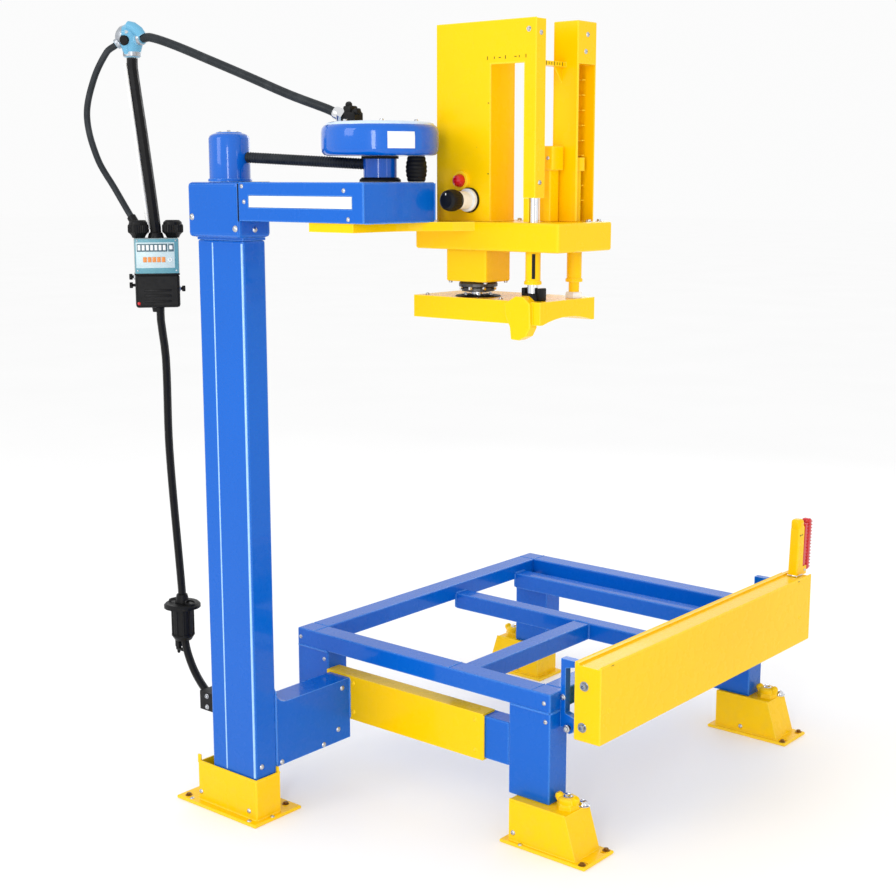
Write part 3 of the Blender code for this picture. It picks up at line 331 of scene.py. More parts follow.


# The second colour of each enamel is its painted highlight along the edges; the third is the colour
# of its chips.
BLUE_TONES = ((0.0, 0.116, 0.56), (0.16, 0.46, 1.0, 1.0), (0.02, 0.035, 0.08, 1.0))
BLUE = enamel("blue_enamel", *BLUE_TONES, coat=0.36)
GLOSSY_BLUE = enamel("glossy_blue_enamel", *BLUE_TONES, coat=0.75)
YELLOW = enamel("yellow_enamel", (1.0, 0.6, 0.0), (1.0, 0.8, 0.08, 1.0), (0.3, 0.14, 0.03, 1.0))
# painted highlight: a pale blue that stands for the light caught on the column's seam and edge
HIGHLIGHT_BLUE = gloss("painted_highlight_blue", (0.36, 0.62, 0.96))
BLACK = moulded("black_moulding", (0.0035, 0.0035, 0.004))
WHITE = gloss("white_gloss", (0.83, 0.83, 0.81))
RED = gloss("red_gloss", (0.6, 0.002, 0.008))
PALE_BLUE = enamel("pale_blue_coat", (0.150, 0.420, 0.620), (0.55, 0.78, 0.88, 1.0),
                   (0.40, 0.42, 0.44, 1.0))
GREY = moulded("grey_moulding", (0.29, 0.38, 0.4), 0.34)
HOSE = hose_rubber("hose_cover", (0.014, 0.018, 0.022))
CHROME = polished("hard_chrome", (0.8, 0.81, 0.83), 0.07)
STEEL = turned_steel("oiled_steel", (0.1, 0.095, 0.09), 0.3)
ZINC = zinc("zinc_plate", (0.66, 0.67, 0.69))
LABEL = printed("white_label", (0.84, 0.85, 0.84))
DARK_RUBBER = moulded("dark_rubber", (0.004, 0.004, 0.004), 0.55, 400.0)
SHADOW = moulded("seam_shadow", (0.16, 0.08, 0.004), 0.6, 500.0)
# painted highlight: a pale blue that stands for the light on the rotary cover's top
HIGHLIGHT_LID = gloss("painted_highlight_lid", (0.6, 0.74, 0.94))
CAST = turned_steel("cast_alloy", (0.46, 0.49, 0.53), 0.32)
BLUED = turned_steel("blued_screws", (0.34, 0.38, 0.46), 0.24)
BRONZED = turned_steel("bronzed_bolts", (0.3, 0.15, 0.03), 0.34)
TEAL_LABEL = printed("teal_label", (0.115, 0.33, 0.4))
PALE_LABEL = printed("pale_label", (0.56, 0.7, 0.73))
DARK_LABEL = printed("dark_label", (0.06, 0.13, 0.16))
ORANGE_LABEL = printed("orange_label", (0.8, 0.27, 0.05))

# The materials of each slot. The first one is what the slot's CAD nodes wear.
FINISHES = {
    "blue_paint": (BLUE, GLOSSY_BLUE, HIGHLIGHT_BLUE), "yellow_paint": (YELLOW, SHADOW),
    "black_plastic": (BLACK, DARK_RUBBER, DARK_LABEL), "white_plastic": (WHITE, LABEL, HIGHLIGHT_LID),
    "red_plastic": (RED, ORANGE_LABEL), "pale_blue_metal": (PALE_BLUE,),
    "grey_plastic": (GREY, TEAL_LABEL, PALE_LABEL), "rubber_hose": (HOSE,),
    "chrome": (CHROME, ZINC, CAST, BLUED), "dark_steel": (STEEL, BRONZED),
}


def dress_frame():
    """Give every CAD node its detailed material."""
    for entry in frame["record"]["subparts"]:
        mesh = frame["nodes"][entry["node"]].data
        mesh.materials.clear()
        mesh.materials.append(FINISHES[entry["material_slot"]][0])


# ------------------------------------------------------------------ mesh tools
class Shape:
    """A mesh in the making, whose solids are laid out in the frame."""

    def __init__(self):
        self.work = bmesh.new()

    def add(self, other, matrix=None):
        """Take in another bmesh, moved by a matrix."""
        if matrix:
            other.transform(matrix)
        spare = bpy.data.meshes.new("spare")
        other.to_mesh(spare)
        other.free()
        self.work.from_mesh(spare)
        bpy.data.meshes.remove(spare)
        return self

    def block(self, low, high, bevel=0.0, segments=2, turn=None):
        """A block between two corners with rounded edges, turned about its middle."""
        low, high = Vector(low), Vector(high)
        made = bmesh.new()
        bmesh.ops.create_cube(made, size=1.0, matrix=Matrix.Diagonal((*(high - low), 1.0)))
        round_off(made, bevel, segments)
        place = Matrix.Translation((low + high) / 2)
        return self.add(made, place @ turn if turn else place)

    def lathe(self, base, out, profile, sides=32, start=0.0, unit=MM):
        """Turn (radius, height) points about the line through base along out.

        A profile that starts or ends off the axis is closed there with a flat face."""
        points = [(radius * unit, height * unit) for radius, height in profile]
        if points[0][0]:
            points.insert(0, (0, points[0][1]))
        if points[-1][0]:
            points.append((0, points[-1][1]))
        rings = [circle(radius, height, sides, start) if radius else [(0, 0, height)]
                 for radius, height in points]
        return self.add(skin(rings), facing(base, out))

    def ring(self, base, out, profile, sides=32, teeth=0.0):
        """Turn a closed loop of (radius, height) points, with every other side sunk by teeth."""
        rings = [circle(radius * MM, height * MM, sides, 0, teeth * MM)
                 for radius, height in profile]
        return self.add(skin(rings, looped=True), facing(base, out))

    def tube(self, path, radii, sides=20):
        """A round tube along a path, with a radius for each of its points."""
        rings = []
        side = None
        for index, place in enumerate(path):
            ahead = path[min(index + 1, len(path) - 1)] - path[max(index - 1, 0)]
            ahead.normalize()
            side = ahead.orthogonal() if side is None else side - ahead * side.dot(ahead)
            side.normalize()
            other = ahead.cross(side)
            rings.append([place + side * x + other * y
                          for x, y, _ in circle(radii[index], 0, sides)])
        return self.add(skin(rings, capped=True))

    def rod(self, start, end, radius, steps=8, sides=12):
        """A straight round bar."""
        path = [start.lerp(end, index / steps) for index in range(steps + 1)]
        return self.tube(path, [radius] * len(path), sides)

    def patch(self, base, profile, first, last, steps=16, thickness=1.2):
        """A thin curved plate round an upright axis, between two angles in degrees."""
        loop = [(radius + thickness, height) for radius, height in profile]
        loop += profile[::-1]
        rows = []
        for step in range(steps + 1):
            angle = math.radians(first + (last - first) * step / steps)
            rows.append([(radius * MM * math.cos(angle), radius * MM * math.sin(angle), height * MM)
                         for radius, height in loop])
        return self.add(skin(rows, capped=True), Matrix.Translation(base))

    def bead(self, start, end, radius=0.004):
        """A rippled weld bead between two places."""
        start, end = Vector(start), Vector(end)
        count = max(6, round((end - start).length / 0.0034))
        path = [start.lerp(end, index / count) for index in range(count + 1)]
        radii = [radius * (0.90 + 0.10 * (-1) ** index + 0.08 * math.sin(index * 0.37))
                 for index in range(count + 1)]
        radii[0] = radii[-1] = radius * 0.6
        return self.tube(path, radii, 8)

    def prism(self, outline, across, bevel=0.0, segments=2):
        """A flat outline of points pushed out along a vector."""
        made = bmesh.new()
        face = made.faces.new([made.verts.new(point) for point in outline])
        pushed = bmesh.ops.extrude_face_region(made, geom=[face])
        moved = [item for item in pushed["geom"] if isinstance(item, bmesh.types.BMVert)]
        bmesh.ops.translate(made, verts=moved, vec=across)
        bmesh.ops.recalc_face_normals(made, faces=made.faces)
        round_off(made, bevel, segments)
        return self.add(made)

    def piece(self, name, material, body=None):
        """Finish the mesh as a piece of the object, which rides on a body if one is named."""
        mesh = bpy.data.meshes.new(name)
        self.work.to_mesh(mesh)
        self.work.free()
        mesh.shade_smooth()
        mesh.set_sharp_from_angle(angle=SHARP)
        mesh.materials.append(material)
        made = bpy.data.objects.new(name, mesh)
        bpy.context.scene.collection.objects.link(made)
        if body:
            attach(made, body)
        return made


def round_off(made, bevel, segments):
    """Round all the edges of a bmesh, unless the bevel is nothing."""
    if bevel:
        bmesh.ops.bevel(made, geom=made.edges[:], offset=bevel, segments=segments,
                        affect="EDGES", profile=0.5)


def circle(radius, height, sides, start=0.0, teeth=0.0):
    """Points round the Z axis, with every other one sunk by teeth."""
    points = []
    for index in range(sides):
        reach = radius - teeth * (index % 2)
        turn = start + math.tau * index / sides
        points.append((reach * math.cos(turn), reach * math.sin(turn), height))
    return points


def facing(base, out):
    """The matrix that stands a mesh on base with its Z axis along out."""
    return Matrix.Translation(base) @ Vector(out).to_track_quat("Z", "Y").to_matrix().to_4x4()


def skin(rings, capped=False, looped=False):
    """Join each ring of points to the next with faces. A ring may be one point."""
    made = bmesh.new()
    rings = [[made.verts.new(point) for point in ring] for ring in rings]
    if looped:
        rings.append(rings[0])
    for first, second in zip(rings, rings[1:]):
        count = max(len(first), len(second))
        for i in range(count):
            j = (i + 1) % count
            if len(first) == 1:
                made.faces.new((first[0], second[i], second[j]))
            elif len(second) == 1:
                made.faces.new((first[i], first[j], second[0]))
            else:
                made.faces.new((first[i], first[j], second[j], second[i]))
    if capped:
        made.faces.new(rings[0])
        made.faces.new(rings[-1])
    bmesh.ops.recalc_face_normals(made, faces=made.faces)
    return made


def around(count, offset=0.0):
    """Directions spread evenly round the upright axis."""
    for index in range(count):
        turn = math.tau * (index + offset) / count
        yield Vector((math.cos(turn), math.sin(turn), 0))


def axis_of(node):
    """The foot of a node's upright middle line, and the heights where the node starts and ends."""
    low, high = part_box(node)
    middle = (low + high) / 2
    return Vector((middle.x, middle.y, 0)), low.z, high.z


# ------------------------------------------------------------------ fasteners
def hex_bolt(shape, base, out, size):
    """A hexagon head with chamfered corners on a round washer."""
    shape.lathe(base, out, [(0.95, 0.16), (1.04, 0.1), (1.04, -0.02)], 24, unit=size)
    shape.lathe(base + out * 0.16 * size, out,
                [(0.50, 0.56), (0.66, 0.49), (0.72, 0.42), (0.72, 0)], 6, unit=size)


def socket_screw(shape, base, out, size):
    """A round head with a hexagon socket on a washer."""
    shape.lathe(base, out, [(1.12, 0.14), (1.2, 0.08), (1.2, -0.02)], 24, unit=size)
    shape.lathe(base + out * 0.14 * size, out,
                [(0.38, 0.18), (0.40, 0.66), (0.70, 0.66), (0.82, 0.54), (0.84, 0)], 24, unit=size)


def dome_screw(shape, base, out, size):
    """A low domed head with a small recess."""
    shape.lathe(base, out, [(0.22, 0.34), (0.26, 0.52), (0.55, 0.46), (0.84, 0.26), (1, 0),
                            (0.9, -0.1)], 20, unit=size)


def fasteners(name, kind, body, out, size, places, material=ZINC):
    """A group of alike fasteners at places in the bed's layout."""
    shape = Shape()
    for place in places:
        kind(shape, at(*place), out, size)
    shape.piece(name, material, body)


# ------------------------------------------------------------------ hoses
def length_of(path):
    """The length of a line of points."""
    return sum((b - a).length for a, b in zip(path, path[1:]))


def smooth_route(points, samples):
    """Points along a smooth curve through a route's points, shared out by length."""
    last = len(points) - 1
    headings = [(points[min(i + 1, last)] - points[max(i - 1, 0)]).normalized()
                for i in range(last + 1)]
    total = length_of(points)
    route = [points[0]]
    for index in range(last):
        start, end = points[index:index + 2]
        reach = (end - start).length
        steps = max(2, round(samples * reach / total))
        for step in range(1, steps + 1):
            t = step / steps
            route.append(start * (2 * t ** 3 - 3 * t ** 2 + 1) + end * (3 * t ** 2 - 2 * t ** 3)
                         + headings[index] * reach * (t ** 3 - 2 * t ** 2 + t)
                         + headings[index + 1] * reach * (t ** 3 - t ** 2))
    return route


END_GAP = 0.0016                # between a hose's end and its fitting
FEED_R, LOOP_R = 0.0125, 0.0095
# Where each hose meets its fitting in the bed's layout, and the way that it leaves it.
FEED_MOUTH = Vector((-0.213, -0.374, 2.292))
FEED_OUT = Vector((1.0, 0.1, 0.04)).normalized()
FITTING_MOUTH = Vector((0.462, -0.272, 2.066))
FITTING_OUT = Vector((-0.925, -0.13, 0.36)).normalized()
LOOP_MOUTH = Vector((-0.297, -0.405, 2.276))
LOOP_OUT = Vector((-0.62, -0.52, -0.59)).normalized()
GLAND_MOUTH = Vector((-0.248, -0.4121, 1.7782))
GLAND_OUT = Vector((-0.62, -0.06, 0.78)).normalized()


def make_hose(name, node, points, samples, radius):
    """A hose along a smooth route that stands for its CAD node."""
    path = [CORNER + point for point in smooth_route(points, samples)]
    tube = Shape().tube(path, [radius] * len(path), 24)
    if name == "feed_hose":
        hose = tube.piece(name, HOSE)
        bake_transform(hose)
    else:
        hose = tube.piece(name, HOSE, "stand")
    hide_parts(node)


def make_hoses():
    """The feed hose to the rotary unit and the loop hose to the pendant."""
    feed = [(-0.103, -0.357, 2.270), (0.028, -0.338, 2.223), (0.155, -0.318, 2.176),
            (0.312, -0.295, 2.117)]
    feed = [FEED_MOUTH + FEED_OUT * END_GAP, FEED_MOUTH + FEED_OUT * 0.030, *map(Vector, feed),
            FITTING_MOUTH + FITTING_OUT * 0.030, FITTING_MOUTH + FITTING_OUT * END_GAP]
    make_hose("feed_hose", "hose_feed", feed, 90, FEED_R)
    loop = [(-0.352, -0.450, 2.175), (-0.3696, -0.4655, 2.070), (-0.350, -0.449, 1.950),
            (-0.308, -0.4200, 1.858)]
    loop = [LOOP_MOUTH + LOOP_OUT * END_GAP, LOOP_MOUTH + LOOP_OUT * 0.035, *map(Vector, loop),
            GLAND_MOUTH + GLAND_OUT * 0.035, GLAND_MOUTH + GLAND_OUT * END_GAP]
    make_hose("loop_hose", "hose_loop", loop, 100, LOOP_R)


def turned_piece(name, node, foot, profile, material, body, sides=72):
    """A smooth turned piece that stands for its CAD node, with heights above the floor."""
    made = Shape().lathe(foot, UP, profile, sides).piece(name, material, body)
    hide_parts(node)


def make_round_pieces():
    """Smooth turned covers, rods and tubes in place of the faceted CAD solids."""
    neck = at(0.6, -0.245, 0)
    turned_piece("rotary_cover", "manifold_cover", neck,
                 [(0, 2032.5), (140, 2032), (149, 2028.5), (154.5, 2021.5), (156.8, 2011),
                  (156.8, 1969), (155, 1959), (149, 1952.5), (140, 1950.2)],
                 GLOSSY_BLUE, "arm", 96)
    turned_piece("rotary_neck", "manifold_neck", neck,
                 [(45, 1949.5), (45, 1889), (46.5, 1887.2), (52.5, 1886.8), (53, 1886),
                  (53, 1881.5)], GLOSSY_BLUE, "arm")
    turned_piece("spindle_housing", "spindle_cap", at(0.142, -0.3685, 0),
                 [(0, 2015), (40, 2014.8), (48, 2012.2), (54.5, 2007.5), (57.5, 2000),
                  (57.5, 1881.5)], GLOSSY_BLUE, "arm")
    ribs, low, high = 6, 1881.8, 1949.5
    profile = []
    for index in range(ribs * 8 + 1):
        share = index / (ribs * 8)
        rib = (1 - abs(2 * (share * ribs % 1) - 1)) ** 0.6
        profile.append((21.5 + 5.5 * math.sin(math.pi * share) + 2 * rib,
                        high + (low - high) * share))
    turned_piece("rubber_bellows", "cable_bellows", at(0.685, -0.195, 0), profile,
                 DARK_RUBBER, "arm", 40)
    turned_piece("front_guide_rod", "guide_rod_front", at(0.957, -0.036, 0),
                 [(11.5, 2000), (14.5, 1997), (14.5, 1569.3)], CHROME, "press", 48)
    turned_piece("hard_ram", "ram_rod", at(0.742, 0, 0),
                 [(32.5, 2215), (33.7, 2213), (33.7, 2177), (32.5, 2175), (22.5, 2175),
                  (22.5, 1569.3)], CHROME, "press", 56)


def make_conduit():
    """The corrugated conduit from the spindle housing to the rotary unit's neck."""
    low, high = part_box("conduit")
    radius = 0.0152
    start = Vector((low.x + 0.001, low.y + radius, high.z - radius))
    end = Vector((high.x - 0.001, high.y - radius, low.z + radius))
    ribs = 46
    path, radii = [], []
    for index in range(ribs * 4 + 1):
        share = index / (ribs * 4)
        path.append(start.lerp(end, share))
        radii.append(radius - 0.0028 * (0.5 + 0.5 * math.cos(math.tau * share * ribs)))
    conduit = Shape().tube(path, radii, 24).piece("corrugated_conduit", HOSE, "arm")
    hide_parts("conduit")


# ------------------------------------------------------------------ bed, legs and feet
RIM = 0.4632                    # the top of the bed's rails
# Each slanted foot: where it starts along X, its front face, and which way it slants.
FEET = ((0.89, -0.035, 1), (0.89, 1.155, 1), (0.116, 1.155, -1))


def make_welds():
    """Weld beads where the frame's members meet."""
    low, inner = 0.4066, 0.0705
    blue = [((0.004, -0.0005, low), (0.131, -0.0005, low)),
        ((0.865, -0.0005, low), (1.002, -0.0005, low)),
        ((-0.0005, 0.004, low), (-0.0005, 0.066, low)),
        ((1.0065, 0.004, low), (1.0065, 0.046, low)), ((0.004, 1.2565, low), (0.141, 1.2565, low)),
        ((0.865, 1.2565, low), (1.002, 1.2565, low)), ((-0.0005, 1.19, low), (-0.0005, 1.252, low)),
        ((0.235, -0.3255, 0.158), (0.235, -0.3255, 0.386)),
        ((0.15, -0.3255, 0.158), (0.15, -0.3255, 0.386)),
        ((0.154, -0.3255, 0.391), (0.231, -0.3255, 0.391)),
        ((0.15, -0.0065, 0.214), (0.15, -0.0065, 0.342)),
        ((0.235, -0.0065, 0.214), (0.235, -0.0065, 0.342))]
    for x in (inner, 0.9355):
        for middle in (0.75, 1.1):
            blue += [((x, middle - 0.028, 0.431), (x, middle + 0.028, 0.431)),
                ((x, middle - 0.03, 0.379), (x, middle - 0.03, 0.428)),
                ((x, middle + 0.03, 0.379), (x, middle + 0.03, 0.428))]
    for y in (inner, 0.7195):
        blue += [((0.587, y, 0.431), (0.643, y, 0.431)), ((0.585, y, 0.379), (0.585, y, 0.428)),
            ((0.645, y, 0.379), (0.645, y, 0.428))]
    shape = Shape()
    for start, end in blue:
        shape.bead(at(*start), at(*end))
    shape.piece("frame_welds", BLUE, "stand")

    yellow = [((-0.014, -0.4186, 0.0105), (0.238, -0.4186, 0.0105)),
        ((-0.0183, -0.415, 0.0105), (-0.0183, -0.324, 0.0105)),
        ((0.2426, -0.415, 0.0105), (0.2426, -0.324, 0.0105)),
        ((-0.014, -0.3184, 0.0105), (0.238, -0.3184, 0.0105))]
    for start, front, way in FEET:
        for y in (front - 0.0003, front + 0.1203):
            yellow.append(((start + way * 0.004, y, 0.0105), (start + way * 0.232, y, 0.0105)))
    shape = Shape()
    for start, end in yellow:
        shape.bead(at(*start), at(*end), 0.003)
    shape.piece("foot_welds", YELLOW, "stand")


def make_foot_caps():
    """The levelling gear and pressed panel of each slanted foot, with a painted shadow round each
    panel, and the feet's folded lips.
    """
    caps, nuts, panels, lips, seams = Shape(), Shape(), Shape(), Shape(), Shape()
    for start, front, way in FEET:
        x, y = start + way * 0.161, front + 0.065
        caps.lathe(at(x, y, 0.131), UP, [(27, 17), (33, 12), (34, 3), (36, 0)], 6, 0.3)
        caps.lathe(at(x, y, 0.146), UP, [(22, 19), (27.5, 14), (27.5, 0)], 24)
        for side in (-1, 1):
            ear = at(x + side * 0.021, y, 0.148)
            caps.lathe(ear, Vector((side * 0.5, -0.2, 1)),
                [(0, 26), (8, 25), (12.5, 19), (13, 4), (9, 0)], 20)
        hex_bolt(nuts, at(x, y, 0.165), UP, 0.013)
        dome_at = at(start + way * 0.186, front + 0.104, 0.133)
        nuts.lathe(dome_at, UP, [(0, 16), (8, 14.5), (14, 9), (16, 2), (20, 1), (20, -1)], 24)
        slant = Vector((-way * 0.04, 0, 0.123)).normalized()
        outward = Vector((way * 0.123, 0, 0.04)).normalized()
        base = at(start + way * 0.232, front + 0.06, 0.01) + slant * 0.018
        outline = [base + BACK * 0.046, base + BACK * -0.046, base + BACK * -0.036 + slant * 0.092,
            base + BACK * 0.036 + slant * 0.092]
        panels.prism([point - outward * 0.0005 for point in outline], outward * 0.003, 0.0012)
        middle = sum(outline, Vector()) / 4
        # painted shadow: a dark amber frame a little larger than each panel stands for the shade
        # round it
        seams.prism([middle + (point - middle) * 1.055 - outward * 0.0005 for point in outline],
            outward * 0.0011)
        lips.rod(at(start + way * 0.002, front + 0.001, 0.134),
            at(start + way * 0.194, front + 0.001, 0.134), 0.0034)
    caps.piece("levelling_caps", YELLOW, "stand")
    nuts.piece("levelling_nuts", CHROME, "stand")
    panels.piece("foot_panels", YELLOW, "stand")
    seams.piece("foot_panel_shadows", SHADOW, "stand")
    for start, end in (((-0.016, -0.416, 0.133), (0.24, -0.416, 0.133)),
            ((0.24, -0.416, 0.133), (0.24, -0.321, 0.133))):
        lips.rod(at(*start), at(*end), 0.0036)
    lips.piece("foot_lips", YELLOW, "stand")

    tabs = Shape()
    for x, y, tall in ((-0.01, -0.4145, 0.022), (0.2395, -0.327, 0.02)):
        tabs.block(at(x - 0.01, y - 0.0035, 0.126), at(x + 0.004, y + 0.0035, 0.133 + tall), 0.003)
    tabs.piece("socket_tabs", YELLOW, "stand")


def make_stand_fasteners():
    """Anchors, and the screws in the feet, the column and the bed."""
    anchors = [(-0.062, -0.276, 0.01), (-0.062, -0.421, 0.01), (0.216, -0.276, 0.01)]
    for start, front, way in FEET:
        anchors += [(start + way * 0.257, front, 0.01), (start + way * 0.257, front + 0.12, 0.01)]
    fasteners("anchor_bolts", hex_bolt, "stand", UP, 0.0105, anchors, BRONZED)
    fasteners("flange_screws", dome_screw, "stand", UP, 0.0075,
        [(-0.035, -0.431, 0.01), (0.252, -0.366, 0.01), (0.222, -0.431, 0.01),
        (0.938, -0.043, 0.01)])
    fasteners("foot_front_screws", dome_screw, "stand", FRONT, 0.008,
        [(-0.006, -0.4186, 0.036), (0.208, -0.4186, 0.033), (0.905, -0.035, 0.034),
        (0.987, 1.155, 0.026), (0.02, 1.155, 0.026)])
    fasteners("column_side_screws", dome_screw, "stand", RIGHT, 0.0085,
        [(0.235, -0.387, 0.169), (0.235, -0.304, 0.159), (0.235, -0.125, 0.159),
        (0.235, -0.04, 0.32), (0.235, -0.06, 0.19)])
    fasteners("column_left_screws", dome_screw, "stand", LEFT, 0.0085,
        [(0.045, -0.387, 0.169), (0.045, -0.35, 0.169)])
    fasteners("bed_front_screws", dome_screw, "stand", FRONT, 0.007,
        [(0.014, 0, 0.434), (0.984, 0, 0.434), (0.118, 0, 0.38), (0.99, 0, 0.38)])
    fasteners("sleeve_screws", dome_screw, "stand", FRONT, 0.0075,
        [(0.25, -0.0063, 0.236), (0.25, -0.0063, 0.33), (0.742, -0.0063, 0.236),
        (0.742, -0.0063, 0.33)], YELLOW)
    fasteners("bracket_bolts", hex_bolt, "stand", FRONT, 0.0085,
        [(1.014, 0.05, 0.446), (1.014, 1.18, 0.446)])


def make_column_trim():
    """The seams down the column's front, painted pale as highlights, the joints on the bed's rim
    and the sleeve's fold.
    """
    shape = Shape()
    # The column's seam and its right edge wear the pale blue of a painted highlight.
    for x, radius in ((0.1083, 0.0026), (0.229, 0.0034)):
        shape.rod(at(x, -0.4105, 0.14), at(x, -0.4105, 1.712), radius, 40)
    shape.piece("column_seams", HIGHLIGHT_BLUE, "stand")
    shape = Shape()
    shape.rod(at(0.632, 0.0005, RIM), at(0.632, 0.0665, RIM), 0.0016, 6, 8)
    for x in (0.07, 0.936):
        for y in (0.0005, 1.1865):
            shape.rod(at(x, y, RIM), at(x, y + 0.068, RIM), 0.0014, 6, 8)
    shape.piece("rim_seams", BLUE, "stand")
    shape = Shape()
    shape.rod(at(0.7705, -0.0035, 0.214), at(0.7705, -0.0035, 0.348), 0.0034)
    shape.piece("sleeve_fold", YELLOW, "stand")


# ------------------------------------------------------------------ swing arm
def make_arm_details():
    """A painted shadow in the joint, screws, clips, white strip and end welds of the swing head and
    the arm.
    """
    low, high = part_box("swing_head")
    x = high.x + 0.0001
    # painted shadow: a dark rubber strip round the joint stands for the shade in the gap between
    # head and arm
    shape = Shape()
    shape.block((x - 0.0013, low.y - 0.0009, low.z + 0.046),
        (x + 0.0013, low.y + 0.002, high.z - 0.004), 0.0005, 1)
    shape.block((x - 0.0013, low.y + 0.004, high.z - 0.002),
        (x + 0.0013, high.y - 0.004, high.z + 0.0009), 0.0005, 1)
    shape.piece("head_gap_shadow", DARK_RUBBER, "arm")
    fasteners("head_front_screws", dome_screw, "arm", FRONT, 0.0095,
        [(0.053, -0.436, 1.784), (0.232, -0.436, 1.754)])
    fasteners("arm_front_screws", dome_screw, "arm", FRONT, 0.0062,
        [(0.262, -0.436, 1.87), (0.646, -0.436, 1.86), (0.661, -0.436, 1.787),
        (0.27, -0.436, 1.828)])
    fasteners("head_side_screws", dome_screw, "arm", RIGHT, 0.0085, [(0.246, -0.375, 1.751)])
    fasteners("head_back_screws", dome_screw, "arm", BACK, 0.0085,
        [(0.06, -0.312, 1.78), (0.22, -0.312, 1.78), (0.06, -0.312, 1.86), (0.22, -0.312, 1.86)])
    shape = Shape()
    shape.block(at(0.2895, -0.4362, 1.8135), at(0.6745, -0.4322, 1.8445), 0.0012)
    for x in (0.2895, 0.6685):
        shape.block(at(x, -0.4368, 1.8135), at(x + 0.006, -0.433, 1.8445), 0.001)
    shape.piece("arm_strip", LABEL, "arm")
    shape = Shape()
    for z in (1.823, 1.738):
        shape.block(at(0.0225, -0.402, z - 0.012), at(0.0345, -0.384, z + 0.012), 0.003)
        shape.ring(at(0.0175, -0.393, z - 0.009), UP, [(8.5, 16), (11.5, 16), (11.5, 0), (8.5, 0)],
            20)
    shape.piece("head_clips", BLACK, "arm")
    shape = Shape()
    shape.bead(at(0.7152, -0.432, 1.7772), at(0.7152, -0.16, 1.7772), 0.0024)
    for y in (-0.435, -0.155):
        shape.rod(at(0.715, y, 1.78), at(0.715, y, 1.878), 0.0026, 6, 10)
    shape.piece("arm_end_welds", BLUE, "arm")


def make_spindle_details():
    """The spindle housing's cover plate, base ring and screws."""
    middle, low, high = axis_of("spindle_cap")
    shape = Shape()
    shape.lathe(middle + UP * high, UP, [(34, 3), (37, 1), (37, -2)], 40)
    shape.ring(middle + UP * (low + 0.001), UP, [(57, 8), (60, 8), (61.5, 5), (61.5, 0), (57, 0)],
        48)
    shape.piece("spindle_trim", BLUE, "arm")
    shape = Shape()
    top = middle + UP * (high + 0.003)
    for out in around(4, 0.5):
        dome_screw(shape, top + out * 0.024, UP, 0.0048)
    hex_bolt(shape, top, UP, 0.008)
    shape.piece("spindle_screws", ZINC, "arm")


def make_rotary_unit_details():
    """The rotary unit's label, screws, rings and a pale top painted as a highlight, and the
    plumbing of its hose fitting.
    """
    middle, low, _ = axis_of("manifold_cover")
    foot = middle + UP * low
    shape = Shape()
    shape.patch(foot, [(157.2, 17.5), (157.4, 47), (156, 60)], -40.5, -12.8)
    shape.piece("rim_label", LABEL, "arm")
    shape = Shape()
    for out in around(6, 0.25):
        socket_screw(shape, foot + out * 0.108 + UP * 0.0888, UP, 0.0062)
    shape.piece("cover_screws", ZINC, "arm")
    # painted highlight: the cover's top is a pale domed disc in place of the light that falls on it
    shape = Shape()
    shape.lathe(foot, UP, [(0, 89.4), (120, 89), (136, 87.6), (143, 84.5), (145.5, 80),
        (145.5, 78)], 96)
    shape.piece("rotary_top_highlight", HIGHLIGHT_LID, "arm")
    neck_low = axis_of("manifold_neck")[1]
    shape = Shape()
    shape.ring(middle + UP * (neck_low + 0.0002), UP,
        [(44, 12), (49, 12), (55.5, 6), (56, 0), (44, 0)], 48)
    shape.ring(foot - UP * 0.008, UP, [(44, 7.5), (50, 7.5), (50, 1), (44, 0)], 48)
    shape.piece("neck_seals", DARK_RUBBER, "arm")

    mouth = CORNER + FITTING_MOUTH
    shape = Shape()
    shape.lathe(mouth, FITTING_OUT, [(17.2, -1), (18.2, -4), (18.2, -17), (17.2, -20)], 28)
    shape.lathe(mouth, FITTING_OUT, [(21.5, -20), (23, -23), (23, -33), (21.5, -36)], 6)
    hex_bolt(shape, at(0.488, -0.274, 2.0663), UP, 0.0075)
    hex_bolt(shape, at(0.53, -0.25, 2.0663), UP, 0.0075)
    shape.piece("fitting_nuts", CHROME, "arm")
    shape = Shape()
    shape.block(at(0.496, -0.279, 2.06), at(0.524, -0.247, 2.083), 0.005)
    shape.block(at(0.514, -0.275, 2.056), at(0.545, -0.255, 2.073), 0.004,
        turn=Matrix.Rotation(math.radians(-16), 4, "Y"))
    shape.lathe(at(0.505, -0.262, 2.078), Vector((0.3, -0.5, 1)),
        [(0, 16), (7, 15), (9.5, 11), (9.5, 4), (11, 2), (11, 0)], 20)
    shape.piece("fitting_block", BLACK, "arm")


# ------------------------------------------------------------------ press tower
PLATEN_TOP = 1.5692             # where the ram and the guide rods stand
PLATE_TOP = 1.7782              # the line of the welds on the press's base plate


